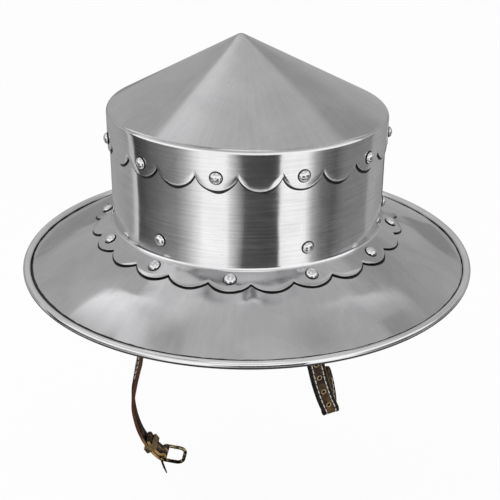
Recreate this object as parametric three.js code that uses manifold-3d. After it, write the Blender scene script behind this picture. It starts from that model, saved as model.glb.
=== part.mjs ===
// Kettle hat: a riveted steel hat with a conical crown, a straight band and a wide sloping brim,
// a leather head liner drawn up by a lace, and a two-piece chin strap with a buckle.
// Millimetres, +Z up, the wearer looks along -Y. The origin is the seat of the head:
// the point on the hat's axis where the top of the head meets the gathered liner.
import * as THREE from 'three';
import { mergeVertices } from 'three/addons/utils/BufferGeometryUtils.js';
import Module from 'manifold-3d';

const wasm = await Module();
wasm.setup();

// Steel shell
const sheet = 1.2;              // thickness of every steel sheet
const seam = 0.3;               // clearance wherever two pieces meet
const bandRadius = 106.8;       // outside of the upright band
const wallHeight = 88;          // brim line to the crease of the crown
const crownRise = 56.7;         // crease to the tip of the cone
const crownTilt = 2.4;          // how far the hand-raised crease climbs at its high side
const crownTiltAngle = -18;     // degrees from the front to that side
const tipLean = 5.2;            // how far the cone's tip stands off the axis
const tipLeanAngle = -54;       // degrees from the front
const shoulderRadius = 5;       // rounding where the cone turns down into the skirt
const tipRadius = 6;            // rounding of the cone's point
const brimWidth = 70.2;         // band to the middle of the rolled edge, seen from above
const brimRise = 36;            // how far the brim climbs over that width
const wireRadius = 1.5;         // wire inside the rolled edge
const bendRadius = 4;           // bend between the band and its foot flange
const rimSteps = 60;

// Scalloped hems
const skirtDepth = 28;          // crease to the lowest point of the skirt's lobes
const skirtLobeDepth = 10;
const skirtLobes = 22;
const flangeWidth = 16.7;       // band to the outermost point of the foot's lobes
const flangeLobeDepth = 6;
const flangeLobes = 24;
const lobeSteps = 5;            // straight steps in each lobe, the notches on whole steps

// Rivets
const shankRadius = 2;
const headRadius = 4.3;
const headHeight = 2.9;
const tailRadius = 3.1;
const tailHeight = 1;
const crownRivetRise = 9.5;     // above the lowest point of the skirt
const footRivetReach = 7.7;     // outside the band, seen from above
const linerRivetRise = 13.6;    // above the brim line
const linerRivets = 6;
const roundSteps = 8;
const domeWidthShare = 0.64;    // where the dome turns over, of the head's radius
const domeHeightShare = 0.78;   // and of its height

// Liner
const leather = 2;
const linerDrop = 8.5;          // below the liner rivets
const linerLift = 13.5;         // above the liner rivets, where the petals start
const petalRise = 84;
const linerSteps = 48;
const gatherRadius = 26;        // from the axis to the lace
const laceRadius = 1.2;
const slitWidth = 3;            // between two petals at their roots
const slitSpread = 9;           // between two petals at the lace
const knotRadius = 3.2;
const knotAngle = 150;
const laceEnd = 16;

// Washers
const washerRadius = 5.5;
const washerThickness = 1;

// Chin strap
const strapThickness = 3;
const strapWidth = 14;
const strapTop = 9;             // strap above its rivet
const buckleStrapDrop = 259;    // rivet to the buckle's bar
const buckleStrapSway = 21.2;   // the bar hangs this much nearer the axis than the rivet
const foldLength = 25;          // strap end turned back round the bar
const foldSpread = 3;           // lift of that end off the strap
const foldShares = [0.3, 0.5, 0.8, 1];
const endWidthShare = 0.3;      // of the strap's width, at its rounded ends
const tailStrapDrop = 150;      // rivet to the start of the turned-up end
const tailStrapLean = 28.6;     // sideways, over that drop
const turnRadius = 4;           // of the turned-up end
const turnUp = 33;              // length of the turned-up end
const turnSkew = 3.4;           // sideways, over the turn
const holeRadius = 1.5;
const holeSpacing = 13.8;
const holes = 5;
const lowestHole = 7;           // above the start of the turn

// Buckle
const barRadius = 1.6;
const frameLength = 20;
const frameWidth = 21;
const frameCorner = 6;
const frameTilt = 8;            // degrees below level
const prongRadius = 1;
const prongReach = 3;           // past the far side of the frame
const prongBow = 0.8;
const prongTipShare = 0.9;      // of the prong's length, where its tip begins
const prongTipRadiusShare = 0.6;
const keeperWidth = 6;
const keeperThickness = 1.6;
const keeperBack = 13.6;        // from the bar to the middle of the keeper
const keeperPlay = 0.7;

const overrun = 5;              // how far every cutter runs past what it cuts

// Derived places, with zero at the underside of the rolled edge
const rollInner = wireRadius + seam;
const rollOuter = rollInner + sheet;
const rollCentre = bandRadius + brimWidth;
const brimSlope = Math.atan2(brimRise, brimWidth);
const brimLine = rollOuter + brimRise;
const creaseZ = brimLine + wallHeight;
const bandInside = bandRadius - sheet;
const crownRivets = skirtLobes / 2;
const footRivets = flangeLobes / 2;
const crownRivetTurn = -180 / skirtLobes;   // degrees, so that a notch of the skirt is in front
const strapAngle = 360 / linerRivets;       // degrees from the front to each strap, to either side
const skirtRadius = bandRadius + seam + sheet;
const skirtHem = creaseZ - skirtDepth;
const crownRivetZ = skirtHem + crownRivetRise;
const linerRivetZ = brimLine + linerRivetRise;
const linerOutside = bandInside - seam;
const linerInside = linerOutside - leather;
const petalRoot = linerRivetZ + linerLift;
const linerFlat = Math.sqrt((linerInside * Math.cos(Math.PI / linerSteps)) ** 2 - washerRadius ** 2);
const washerFace = linerFlat - seam;
const strapOutside = washerFace - washerThickness - seam;
const strapMiddle = strapOutside - strapThickness / 2;
const strapInside = strapOutside - strapThickness;
const gatherShare = gatherRadius / linerOutside;
const gatherZ = petalRoot + petalRise * Math.sqrt(1 - gatherShare ** 2);
const laceZ = gatherZ - leather - seam - laceRadius;
const hemOuter = laceRadius + seam + leather;
const hemInner = laceRadius + seam;
const seatZ = laceZ - hemOuter;

const steel = new THREE.MeshStandardMaterial({ color: 0xb4b6b8, metalness: 1, roughness: 0.28 });
const brightSteel = new THREE.MeshStandardMaterial({ color: 0xd2d3d4, metalness: 1, roughness: 0.18 });
const linerLeather = new THREE.MeshStandardMaterial({ color: 0x8a5a34, metalness: 0, roughness: 0.7 });
const strapLeather = new THREE.MeshStandardMaterial({ color: 0x3a2018, metalness: 0, roughness: 0.5 });
const oldBrass = new THREE.MeshStandardMaterial({ color: 0x6e5a34, metalness: 1, roughness: 0.4 });
const cordCotton = new THREE.MeshStandardMaterial({ color: 0xb8a684, metalness: 0, roughness: 0.9 });

const hat = new THREE.Group();
hat.position.z = -seatZ;

const radians = THREE.MathUtils.degToRad;

// Joining and cutting

function toSolid(geometry) {
  const bare = geometry.clone();
  bare.deleteAttribute('normal');
  bare.deleteAttribute('uv');
  const welded = mergeVertices(bare, seam / 1000);
  return new wasm.Manifold(new wasm.Mesh({
    numProp: 3,
    vertProperties: new Float32Array(welded.attributes.position.array),
    triVerts: new Uint32Array(welded.index.array),
  }));
}

function toGeometry(solid) {
  const mesh = solid.getMesh();
  const geometry = new THREE.BufferGeometry();
  geometry.setAttribute('position', new THREE.BufferAttribute(mesh.vertProperties, 3));
  geometry.setIndex(new THREE.BufferAttribute(mesh.triVerts, 1));
  return geometry;
}

function cut(geometry, cutters) {
  let solid = toSolid(geometry);
  for (const cutter of cutters) {
    solid = solid.subtract(toSolid(cutter));
  }
  return toGeometry(solid);
}

function addPart(parent, name, geometry, material) {
  const plain = geometry.clone();
  plain.computeVertexNormals();
  const mesh = new THREE.Mesh(plain, material);
  mesh.name = name;
  parent.add(mesh);
  return mesh;
}

// Outlines

// Points of an arc round (x, y) from one angle to another, both ends included.
function arcPoints(x, y, radius, from, to, steps) {
  const points = [];
  for (let i = 0; i <= steps; i += 1) {
    const angle = from + (to - from) * i / steps;
    points.push(new THREE.Vector2(x + radius * Math.cos(angle), y + radius * Math.sin(angle)));
  }
  return points;
}

// Replaces the corner at b by an arc that touches both of its sides.
function roundedCorner(a, b, c, radius, steps) {
  const toA = a.clone().sub(b).normalize();
  const toC = c.clone().sub(b).normalize();
  const half = Math.acos(toA.dot(toC)) / 2;
  const middle = toA.clone().add(toC).normalize().multiplyScalar(radius / Math.sin(half)).add(b);
  const start = toA.multiplyScalar(radius / Math.tan(half)).add(b).sub(middle);
  const end = toC.multiplyScalar(radius / Math.tan(half)).add(b).sub(middle);
  const turn = Math.atan2(start.cross(end), start.dot(end));
  return arcPoints(middle.x, middle.y, radius, start.angle(), start.angle() + turn, steps);
}

// A body of revolution about Z from a closed outline of (radius, height) points, given either way round.
function revolve(points, steps) {
  const outline = THREE.ShapeUtils.area(points) < 0 ? [...points].reverse() : [...points];
  const onAxis = outline.filter((point) => point.x === 0).length;
  if (onAxis === 0) {
    outline.push(outline[0].clone());
  }
  const geometry = new THREE.LatheGeometry(outline, steps);
  geometry.rotateX(Math.PI / 2);
  return geometry;
}

// A skin over rings of points, closed by flat ends or back on its first ring.
function skin(rings, closed) {
  const sides = rings[0].length;
  const positions = rings.flat().flatMap((point) => [point.x, point.y, point.z]);
  const index = [];
  const spans = closed ? rings.length : rings.length - 1;
  for (let i = 0; i < spans; i += 1) {
    const here = i * sides;
    const next = ((i + 1) % rings.length) * sides;
    for (let k = 0; k < sides; k += 1) {
      const other = (k + 1) % sides;
      index.push(here + k, next + other, next + k, here + k, here + other, next + other);
    }
  }
  if (!closed) {
    const end = (rings.length - 1) * sides;
    for (let k = 1; k < sides - 1; k += 1) {
      index.push(0, k + 1, k, end, end + k, end + k + 1);
    }
  }
  const geometry = new THREE.BufferGeometry();
  geometry.setAttribute('position', new THREE.BufferAttribute(new Float32Array(positions), 3));
  geometry.setIndex(index);
  return geometry;
}

// Rings of a section along a path. The section's first axis stays as near as it can to across.
function ringsAlong(path, across, section) {
  return path.map((point, i) => {
    const before = path[Math.max(i - 1, 0)];
    const after = path[Math.min(i + 1, path.length - 1)];
    const along = after.clone().sub(before).normalize();
    const wanted = across(i / (path.length - 1));
    const side = wanted.addScaledVector(along, -wanted.dot(along)).normalize();
    const up = new THREE.Vector3().crossVectors(along, side);
    const shape = section(i / (path.length - 1));
    return shape.map(([u, v]) => point.clone().addScaledVector(side, u).addScaledVector(up, v));
  });
}

// Corners of a many-sided round outline, without the first one again at the end.
function roundOutline(x, y, radius, sides) {
  return arcPoints(x, y, radius, 0, 2 * Math.PI, sides).slice(0, -1);
}

function roundSection(radius, sides) {
  return roundOutline(0, 0, radius, sides).map(({ x, y }) => [x, y]);
}

function flatSection(width, thickness) {
  const u = width / 2;
  const v = thickness / 2;
  return [[u, v], [-u, v], [-u, -v], [u, -v]];
}

// Puts a piece modelled in front of the axis at an angle round it.
function turned(geometry, degrees) {
  const copy = geometry.clone();
  copy.rotateZ(radians(degrees));
  return copy;
}

// Height of a line parallel to the brim, lifted square to it.
function brimHeight(radius, lift) {
  return rollOuter + (rollCentre - radius) * Math.tan(brimSlope) + lift / Math.cos(brimSlope);
}

// Radius of the circle that gives a lobe its width and depth.
function lobeCircle(halfWidth, depth) {
  return (halfWidth ** 2 + depth ** 2) / (2 * depth);
}

// Angle from the middle of the nearest lobe.
function lobeOffset(angle, lobes, firstLobe) {
  const pitch = 2 * Math.PI / lobes;
  const turns = (angle - firstLobe) / pitch;
  return (turns - Math.round(turns)) * pitch;
}

// Rivets and the holes for them

// One rivet along -Y: the head's flat side at zero, the shank running inwards over its grip.
function rivetGeometry(grip) {
  const end = -grip;
  const outline = [
    [0, headHeight], [headRadius * domeWidthShare, headHeight * domeHeightShare], [headRadius, 0],
    [shankRadius, 0], [shankRadius, end], [tailRadius, end], [0, end - tailHeight],
  ].map(([x, y]) => new THREE.Vector2(x, y));
  return revolve(outline, roundSteps).rotateX(Math.PI / 2);
}

// A six-sided hole whose flats clear the round shank.
function holeCutter(radius) {
  const sides = 6;
  const corner = radius / Math.cos(Math.PI / sides);
  return new THREE.CylinderGeometry(corner, corner, 2 * (overrun + headRadius), sides);
}

function ringOf(count, firstDegrees) {
  return Array.from({ length: count }, (_, i) => firstDegrees + i * 360 / count);
}

// Level holes through the upright walls
function wallHoles(radius, z, angles) {
  const cutter = holeCutter(shankRadius + seam).translate(0, -radius, z);
  return angles.map((degrees) => turned(cutter, degrees));
}

const crownAngles = ringOf(crownRivets, crownRivetTurn);
const footAngles = ringOf(footRivets, 0);
const linerAngles = ringOf(linerRivets, 0);
const footRivetRadius = bandRadius + footRivetReach;

// Places a piece that stands along -Y so that it stands square on the brim.
function squareToBrim(geometry, lift) {
  const standing = geometry.clone().rotateX(-(Math.PI / 2 - brimSlope));
  return standing.translate(0, -footRivetRadius, brimHeight(footRivetRadius, lift));
}

function footHoles() {
  const cutter = squareToBrim(holeCutter(shankRadius + seam), 0);
  return footAngles.map((degrees) => turned(cutter, degrees));
}

// Crown cap: a cone with a rounded shoulder and a scalloped skirt over the band

function crownSide(inset) {
  const side = skirtRadius - inset;
  const slope = Math.atan2(crownRise, skirtRadius);
  const tip = new THREE.Vector2(0, creaseZ + crownRise - inset / Math.cos(slope));
  const crease = new THREE.Vector2(side, tip.y - side * Math.tan(slope));
  const mirrored = new THREE.Vector2(-crease.x, crease.y);
  const hem = new THREE.Vector2(side, skirtHem);
  const point = roundedCorner(mirrored, tip, crease, tipRadius, 2).slice(1);
  point[0].x = 0;
  const shoulder = roundedCorner(tip, crease, hem, shoulderRadius - inset, 3);
  return [...point, ...shoulder, hem];
}

// Direction away from the axis at an angle from the front
function outwards(degrees) {
  return new THREE.Vector3(Math.sin(radians(degrees)), -Math.cos(radians(degrees)), 0);
}

// The crown is raised by hand: its crease is a little tilted, and its tip stands off the axis.
function handRaised(place) {
  const climb = crownTilt * place.dot(outwards(crownTiltAngle)) / skirtRadius;
  const rise = Math.max(place.z - creaseZ, 0) / crownRise;
  return place.clone().addScaledVector(outwards(tipLeanAngle), tipLean * rise).setZ(place.z + climb);
}

function crownCap() {
  const outline = [...crownSide(0), ...crownSide(sheet).reverse()];
  const geometry = revolve(outline, skirtLobes * lobeSteps);
  const circle = lobeCircle(Math.PI * skirtRadius / skirtLobes, skirtLobeDepth);
  const places = geometry.attributes.position;
  const hemTop = skirtHem + seam;
  for (let i = 0; i < places.count; i += 1) {
    if (places.getZ(i) < hemTop) {
      const angle = Math.atan2(places.getX(i), -places.getY(i));
      const along = skirtRadius * lobeOffset(angle, skirtLobes, radians(crownRivetTurn));
      places.setZ(i, skirtHem + circle - Math.sqrt(circle ** 2 - along ** 2));
    } else {
      const place = handRaised(new THREE.Vector3().fromBufferAttribute(places, i));
      places.setXYZ(i, place.x, place.y, place.z);
    }
  }
  return cut(geometry, wallHoles(skirtRadius, crownRivetZ, crownAngles));
}

// Band: an upright wall whose foot turns out into a scalloped flange on the brim

function skullBand() {
  const top = creaseZ - crownTilt - shoulderRadius;
  const reach = bandRadius + flangeWidth;
  const upper = -rollInner + seam + sheet;
  const lower = -rollInner + seam;
  const outerCorner = new THREE.Vector2(bandRadius, brimHeight(bandRadius, upper));
  const innerCorner = new THREE.Vector2(bandInside, brimHeight(bandInside, lower));
  const outerTop = new THREE.Vector2(bandRadius, top);
  const innerTop = new THREE.Vector2(bandInside, top);
  const upperHem = new THREE.Vector2(reach, brimHeight(reach, upper));
  const lowerHem = new THREE.Vector2(reach, brimHeight(reach, lower));
  const outline = [
    outerTop,
    ...roundedCorner(outerTop, outerCorner, upperHem, bendRadius, 2),
    upperHem,
    lowerHem,
    ...roundedCorner(lowerHem, innerCorner, innerTop, bendRadius + sheet, 2),
    innerTop,
  ];
  const geometry = revolve(outline, flangeLobes * lobeSteps).rotateZ(Math.PI / flangeLobes);
  const pitch = 2 * Math.PI / flangeLobes;
  const notch = reach - flangeLobeDepth;
  const circle = lobeCircle(notch * Math.sin(pitch / 2), reach - notch * Math.cos(pitch / 2));
  const middle = reach - circle;
  const places = geometry.attributes.position;
  for (let i = 0; i < places.count; i += 1) {
    const radius = Math.hypot(places.getX(i), places.getY(i));
    if (radius > reach - seam) {
      const angle = Math.atan2(places.getX(i), -places.getY(i));
      const offset = lobeOffset(angle, flangeLobes, 0);
      const hem = middle * Math.cos(offset) + Math.sqrt(circle ** 2 - (middle * Math.sin(offset)) ** 2);
      const fall = (radius - hem) * Math.tan(brimSlope);
      places.setXYZ(i, places.getX(i) * hem / radius, places.getY(i) * hem / radius, places.getZ(i) + fall);
    }
  }
  return cut(geometry, [
    ...wallHoles(bandRadius, crownRivetZ, crownAngles),
    ...wallHoles(bandRadius, linerRivetZ, linerAngles),
    ...footHoles(),
  ]);
}

// Brim: a cone of sheet whose edge is rolled up and over a wire

function brim() {
  const steps = 5;
  const under = -Math.PI / 2 - brimSlope;
  const rolled = Math.PI;
  const outline = [
    new THREE.Vector2(bandInside, brimHeight(bandInside, -rollInner)),
    ...arcPoints(rollCentre, rollOuter, rollInner, under, rolled, steps),
    ...arcPoints(rollCentre, rollOuter, rollOuter, rolled, under, steps),
    new THREE.Vector2(bandInside, brimHeight(bandInside, -rollOuter)),
  ];
  return cut(revolve(outline, rimSteps), footHoles());
}

function edgeWire() {
  return revolve(roundOutline(rollCentre, rollOuter, wireRadius, 6), rimSteps);
}

// Liner: a leather band under the rivets, and petals sewn to its top edge and drawn together on a lace

function petalPoint(share, inset) {
  const angle = Math.acos(gatherShare) * share;
  const slope = new THREE.Vector2(Math.cos(angle) / linerOutside, Math.sin(angle) / petalRise).normalize();
  const point = new THREE.Vector2(linerOutside * Math.cos(angle), petalRoot + petalRise * Math.sin(angle));
  return point.addScaledVector(slope, -inset);
}

function linerBand() {
  const foot = linerRivetZ - linerDrop;
  const outline = [
    new THREE.Vector2(linerOutside, foot), new THREE.Vector2(linerOutside, petalRoot),
    new THREE.Vector2(linerInside, petalRoot), new THREE.Vector2(linerInside, foot),
  ];
  return cut(revolve(outline, linerSteps), wallHoles(linerOutside, linerRivetZ, linerAngles));
}

// All petals, cut apart by the slits, in order from the front one round to the wearer's left.
function linerPetals() {
  const steps = 5;
  const root = seam / petalRise;
  const shares = Array.from({ length: steps }, (_, i) => root + (1 - root) * i / steps);
  const hemStart = Math.PI / 2;
  const hemEnd = 2 * Math.PI - Math.PI / 6;
  const outline = [
    ...shares.map((share) => petalPoint(share, 0)),
    ...arcPoints(gatherRadius, laceZ, hemOuter, hemStart, hemEnd, 4),
    ...arcPoints(gatherRadius, laceZ, hemInner, hemEnd, hemStart, 4),
    ...shares.map((share) => petalPoint(share, leather)).reverse(),
  ];
  const slit = new THREE.Shape([
    new THREE.Vector2(-slitWidth / 2, petalRoot - overrun),
    new THREE.Vector2(slitWidth / 2, petalRoot - overrun),
    new THREE.Vector2(slitSpread / 2, gatherZ + overrun),
    new THREE.Vector2(-slitSpread / 2, gatherZ + overrun),
  ]);
  const cutter = new THREE.ExtrudeGeometry(slit, { depth: linerOutside + overrun, bevelEnabled: false });
  cutter.rotateX(Math.PI / 2);
  const slits = ringOf(linerRivets, 180 / linerRivets).map((degrees) => turned(cutter, degrees));
  const dome = toSolid(cut(revolve(outline, linerSteps), slits));
  const petals = dome.decompose().map(toGeometry);
  return petals.sort((a, b) => turnOf(a) - turnOf(b));
}

// Angle from the front to the middle of a petal, the first one at or just past zero.
function turnOf(geometry) {
  geometry.computeBoundingBox();
  const middle = geometry.boundingBox.getCenter(new THREE.Vector3());
  const turn = Math.atan2(middle.x, -middle.y);
  return turn < -Math.PI / linerRivets ? turn + 2 * Math.PI : turn;
}

function lace() {
  const sides = 5;
  const ring = roundOutline(gatherRadius, laceZ, laceRadius, sides);
  let solid = toSolid(revolve(ring, linerSteps));
  const knot = new THREE.SphereGeometry(knotRadius, roundSteps, sides).translate(0, -gatherRadius, laceZ);
  solid = solid.add(toSolid(turned(knot, knotAngle)));
  for (const side of [-1, 1]) {
    const end = new THREE.CylinderGeometry(laceRadius, laceRadius, laceEnd, sides);
    end.rotateX(Math.PI / 2).translate(0, 0, -laceEnd / 2);
    end.rotateY(side * brimSlope).translate(0, -gatherRadius, laceZ);
    solid = solid.add(toSolid(turned(end, knotAngle)));
  }
  return toGeometry(solid);
}

// A washer along -Y, its outer face at the given distance from the axis
function washer(radius) {
  const outline = [
    [shankRadius + seam, 0], [washerRadius, 0],
    [washerRadius, washerThickness], [shankRadius + seam, washerThickness],
  ].map(([x, y]) => new THREE.Vector2(x, y));
  const geometry = revolve(outline, roundSteps).rotateX(Math.PI / 2);
  return geometry.translate(0, washerThickness - radius, linerRivetZ);
}

// Straps

function smoothPath(points, steps) {
  return new THREE.CatmullRomCurve3(points, false, 'centripetal').getSpacedPoints(steps);
}

const squareAcross = () => new THREE.Vector3(1, 0, 0);

// Strap section that narrows to a round end over the first and last stretch of the path.
function strapSection(length) {
  const half = strapWidth / 2;
  return (share) => {
    const fromEnd = Math.min(share * length, (1 - share) * length, half);
    const narrow = Math.sqrt(1 - (1 - fromEnd / half) ** 2);
    return flatSection(strapWidth * Math.max(narrow, endWidthShare), strapThickness);
  };
}

function pathLength(path) {
  return path.slice(1).reduce((sum, point, i) => sum + point.distanceTo(path[i]), 0);
}

// The buckle strap hangs in the plane through the axis, so it is drawn as inward and downward shares.
const buckleRouteShares = [
  [0, 0], [0, 0.09], [0.1, 0.25], [0.28, 0.42], [0.34, 0.53], [0.295, 0.61], [0.165, 0.66],
  [0.04, 0.71], [-0.05, 0.75], [-0.075, 0.8], [-0.015, 0.842], [0.115, 0.887], [0.295, 0.924],
  [0.5, 0.952], [0.75, 0.98], [1, 1],
];

function buckleRoute() {
  const route = buckleRouteShares.map(([inward, down]) => new THREE.Vector3(
    0, -(strapMiddle - inward * buckleStrapSway), linerRivetZ - down * buckleStrapDrop,
  ));
  return smoothPath([new THREE.Vector3(0, -strapMiddle, linerRivetZ + strapTop), ...route], 44);
}

const hangingRoute = buckleRoute();
const routeEnd = hangingRoute[hangingRoute.length - 1];
const endHeading = routeEnd.clone().sub(hangingRoute[hangingRoute.length - 2]).normalize();
const endLift = new THREE.Vector3().crossVectors(new THREE.Vector3(1, 0, 0), endHeading);
const foldRadius = barRadius + seam + strapThickness / 2;
const barPlace = routeEnd.clone().addScaledVector(endLift, foldRadius);

// A place on the hanging strap, measured back from its end and lifted off it.
function besideStrap(back, lift) {
  let left = back;
  for (let i = hangingRoute.length - 1; i > 0; i -= 1) {
    const step = hangingRoute[i].distanceTo(hangingRoute[i - 1]);
    if (left <= step) {
      const along = hangingRoute[i].clone().sub(hangingRoute[i - 1]).normalize();
      const up = new THREE.Vector3().crossVectors(new THREE.Vector3(1, 0, 0), along);
      const place = hangingRoute[i].clone().addScaledVector(along, -left).addScaledVector(up, lift);
      return { place, along, up };
    }
    left -= step;
  }
  return { place: hangingRoute[0].clone(), along: endHeading.clone(), up: endLift.clone() };
}

function buckleStrap() {
  const turnSteps = 6;
  const turn = Array.from({ length: turnSteps }, (_, i) => {
    const angle = Math.PI * (i + 1) / turnSteps;
    return barPlace.clone()
      .addScaledVector(endHeading, foldRadius * Math.sin(angle))
      .addScaledVector(endLift, -foldRadius * Math.cos(angle));
  });
  const closeLift = strapThickness + seam;
  const lifts = [seam, 0, 0, foldSpread];
  const back = foldShares.map((share, i) => besideStrap(foldLength * share, closeLift + lifts[i]).place);
  const path = [...hangingRoute, ...turn, ...back];
  const section = strapSection(pathLength(path));
  const geometry = skin(ringsAlong(path, squareAcross, section), false);
  const slotWidth = 2 * (prongRadius + seam);
  const slotLength = 2 * (foldRadius + strapThickness);
  const slot = new THREE.BoxGeometry(slotWidth, slotLength, slotLength);
  slot.applyMatrix4(new THREE.Matrix4().makeBasis(new THREE.Vector3(1, 0, 0), endHeading, endLift));
  slot.translate(barPlace.x, barPlace.y, barPlace.z);
  const hole = holeCutter(shankRadius + seam).translate(0, -strapMiddle, linerRivetZ);
  return cut(geometry, [slot, hole]);
}

const tailRouteShares = [
  [0, 0], [0, 0.1], [0.06, 0.3], [0.22, 0.52], [0.455, 0.68], [0.63, 0.81], [0.84, 0.93], [1, 1],
];

function tailStrap() {
  const down = tailRouteShares.map(([lean, drop]) => new THREE.Vector3(
    lean * tailStrapLean, -strapMiddle, linerRivetZ - drop * tailStrapDrop,
  ));
  const bottom = down[down.length - 1];
  const hanging = smoothPath([new THREE.Vector3(0, -strapMiddle, linerRivetZ + strapTop), ...down], 26);
  const turnSteps = 6;
  const turn = Array.from({ length: turnSteps }, (_, i) => {
    const share = (i + 1) / turnSteps;
    const angle = Math.PI * share;
    return new THREE.Vector3(
      bottom.x + turnSkew * share,
      bottom.y + turnRadius * (1 - Math.cos(angle)),
      bottom.z - turnRadius * Math.sin(angle),
    );
  });
  const rising = [0.25, 0.5, 0.75, 1].map((share) => new THREE.Vector3(
    bottom.x + turnSkew - turnSkew * share ** 2,
    bottom.y + 2 * turnRadius + turnRadius * share / 2,
    bottom.z + turnUp * share,
  ));
  const path = [...hanging, ...turn, ...rising];
  const section = strapSection(pathLength(path));
  const twist = (share) => {
    const late = Math.max(share * path.length - hanging.length, 0) / (path.length - hanging.length);
    return new THREE.Vector3(Math.cos(late), Math.sin(late), 0);
  };
  const geometry = skin(ringsAlong(path, twist, section), false);
  const curve = new THREE.CatmullRomCurve3([...down], false, 'centripetal');
  const length = curve.getLength();
  const cutters = Array.from({ length: holes }, (_, i) => {
    const place = curve.getPointAt(1 - (lowestHole + i * holeSpacing) / length);
    const cutter = new THREE.CylinderGeometry(holeRadius, holeRadius, 2 * turnRadius, roundSteps);
    return cutter.translate(place.x, place.y, place.z);
  });
  cutters.push(holeCutter(shankRadius + seam).translate(0, -strapMiddle, linerRivetZ));
  return cut(geometry, cutters);
}

// Buckle: a round-wire frame that turns in the fold of the strap, with a prong on the same bar

const frameDirection = new THREE.Vector3(0, Math.cos(radians(frameTilt)), -Math.sin(radians(frameTilt)));

function buckleFrame() {
  const half = frameWidth / 2;
  const corner = frameCorner;
  const outline = new THREE.Shape();
  outline.moveTo(-half + barRadius, 0);
  outline.lineTo(half - barRadius, 0);
  outline.lineTo(half, barRadius);
  outline.lineTo(half, frameLength - corner);
  outline.absarc(half - corner, frameLength - corner, corner, 0, Math.PI / 2, false);
  outline.lineTo(-half + corner, frameLength);
  outline.absarc(-half + corner, frameLength - corner, corner, Math.PI / 2, Math.PI, false);
  outline.lineTo(-half, barRadius);
  const flat = outline.getPoints(4);
  const path = flat.filter((point, i) => i === 0 || point.distanceTo(flat[i - 1]) > seam);
  const plane = frameDirection;
  const up = new THREE.Vector3().crossVectors(new THREE.Vector3(1, 0, 0), plane);
  const rings = path.map((point, i) => {
    const before = path[(i + path.length - 1) % path.length];
    const after = path[(i + 1) % path.length];
    const along = after.clone().sub(before).normalize();
    const place = new THREE.Vector3(point.x, 0, 0).addScaledVector(plane, point.y).add(barPlace);
    const inward = new THREE.Vector3(-along.y, 0, 0).addScaledVector(plane, along.x);
    return roundSection(barRadius, 8).map(([u, v]) => place.clone()
      .addScaledVector(inward, u).addScaledVector(up, v));
  });
  return skin(rings, true);
}

// The prong hangs from the bar with its weight straight below, and lies under the frame when it closes.
function buckleProng() {
  const loop = barRadius + seam + prongRadius;
  const length = frameLength + prongReach;
  const loopSteps = 7;
  const eye = Array.from({ length: loopSteps }, (_, i) => {
    const angle = Math.PI * (0.5 - 1.5 * i / loopSteps);
    return new THREE.Vector3(0, loop * Math.cos(angle), loop * Math.sin(angle));
  });
  const shank = [0, 0.25, 0.5, 0.75, 1].map((share) => (
    new THREE.Vector3(0, -loop - prongBow * Math.sin(Math.PI * share), -length * share)
  ));
  const path = [...eye, ...shank];
  const centre = new THREE.Vector3();
  path.slice(1).forEach((point, i) => {
    centre.addScaledVector(point.clone().add(path[i]), point.distanceTo(path[i]) / 2);
  });
  const section = (share) => {
    const taper = share > prongTipShare ? prongTipRadiusShare : 1;
    return roundSection(prongRadius * taper, 6);
  };
  const rings = ringsAlong(path, squareAcross, section);
  const hanging = Math.atan(centre.y / centre.z);
  return skin(rings, false).rotateX(hanging).translate(barPlace.x, barPlace.y, barPlace.z);
}

function keeper() {
  const { place, along, up } = besideStrap(keeperBack, strapThickness / 2);
  const wide = strapWidth / 2 + keeperPlay + keeperThickness / 2;
  const high = strapThickness + seam / 2 + keeperPlay + keeperThickness / 2;
  const corners = [[-wide, -high], [-wide, high], [wide, high], [wide, -high]];
  const across = new THREE.Vector3(1, 0, 0);
  const rings = corners.map(([x, y]) => {
    const centre = place.clone().addScaledVector(across, x).addScaledVector(up, y + seam / 2);
    const outward = across.clone().multiplyScalar(Math.sign(x)).addScaledVector(up, Math.sign(y));
    return flatSection(keeperWidth, keeperThickness).map(([u, v]) => centre.clone()
      .addScaledVector(along, u).addScaledVector(outward, v));
  });
  return skin(rings, true);
}

// Assembly

addPart(hat, 'crown_cap', crownCap(), steel);
addPart(hat, 'skull_band', skullBand(), steel);
addPart(hat, 'brim', brim(), steel);
addPart(hat, 'edge_wire', edgeWire(), steel);
addPart(hat, 'liner_band', linerBand(), linerLeather);
addPart(hat, 'liner_lace', lace(), cordCotton);

function numbered(name, i) {
  return `${name}_${String(i + 1).padStart(2, '0')}`;
}

linerPetals().forEach((geometry, i) => addPart(hat, numbered('liner_petal', i), geometry, linerLeather));

crownAngles.forEach((degrees, i) => {
  const grip = skirtRadius + seam - bandInside + seam;
  const rivet = rivetGeometry(grip).translate(0, -(skirtRadius + seam), crownRivetZ);
  addPart(hat, numbered('crown_rivet', i), turned(rivet, degrees), brightSteel);
});

footAngles.forEach((degrees, i) => {
  const lift = -rollInner + seam + sheet + seam;
  const rivet = squareToBrim(rivetGeometry(lift + rollOuter + seam), lift);
  addPart(hat, numbered('brim_rivet', i), turned(rivet, degrees), brightSteel);
});

linerAngles.forEach((degrees, i) => {
  const carriesTail = i === 1;
  const carriesStrap = carriesTail || i === linerRivets - 1;
  const innermost = (carriesStrap ? strapInside - seam : washerFace) - washerThickness - seam;
  const outermost = bandRadius + seam;
  const rivet = rivetGeometry(outermost - innermost).translate(0, -outermost, linerRivetZ);
  addPart(hat, numbered('liner_rivet', i), turned(rivet, degrees), brightSteel);
  addPart(hat, numbered('liner_washer', i), turned(washer(washerFace), degrees), steel);
  if (carriesStrap) {
    const name = carriesTail ? 'tail_strap_washer' : 'buckle_strap_washer';
    addPart(hat, name, turned(washer(strapInside - seam), degrees), steel);
  }
});

const tailSide = new THREE.Group();
tailSide.rotation.z = radians(strapAngle);
addPart(tailSide, 'tail_strap', tailStrap(), strapLeather);

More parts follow.
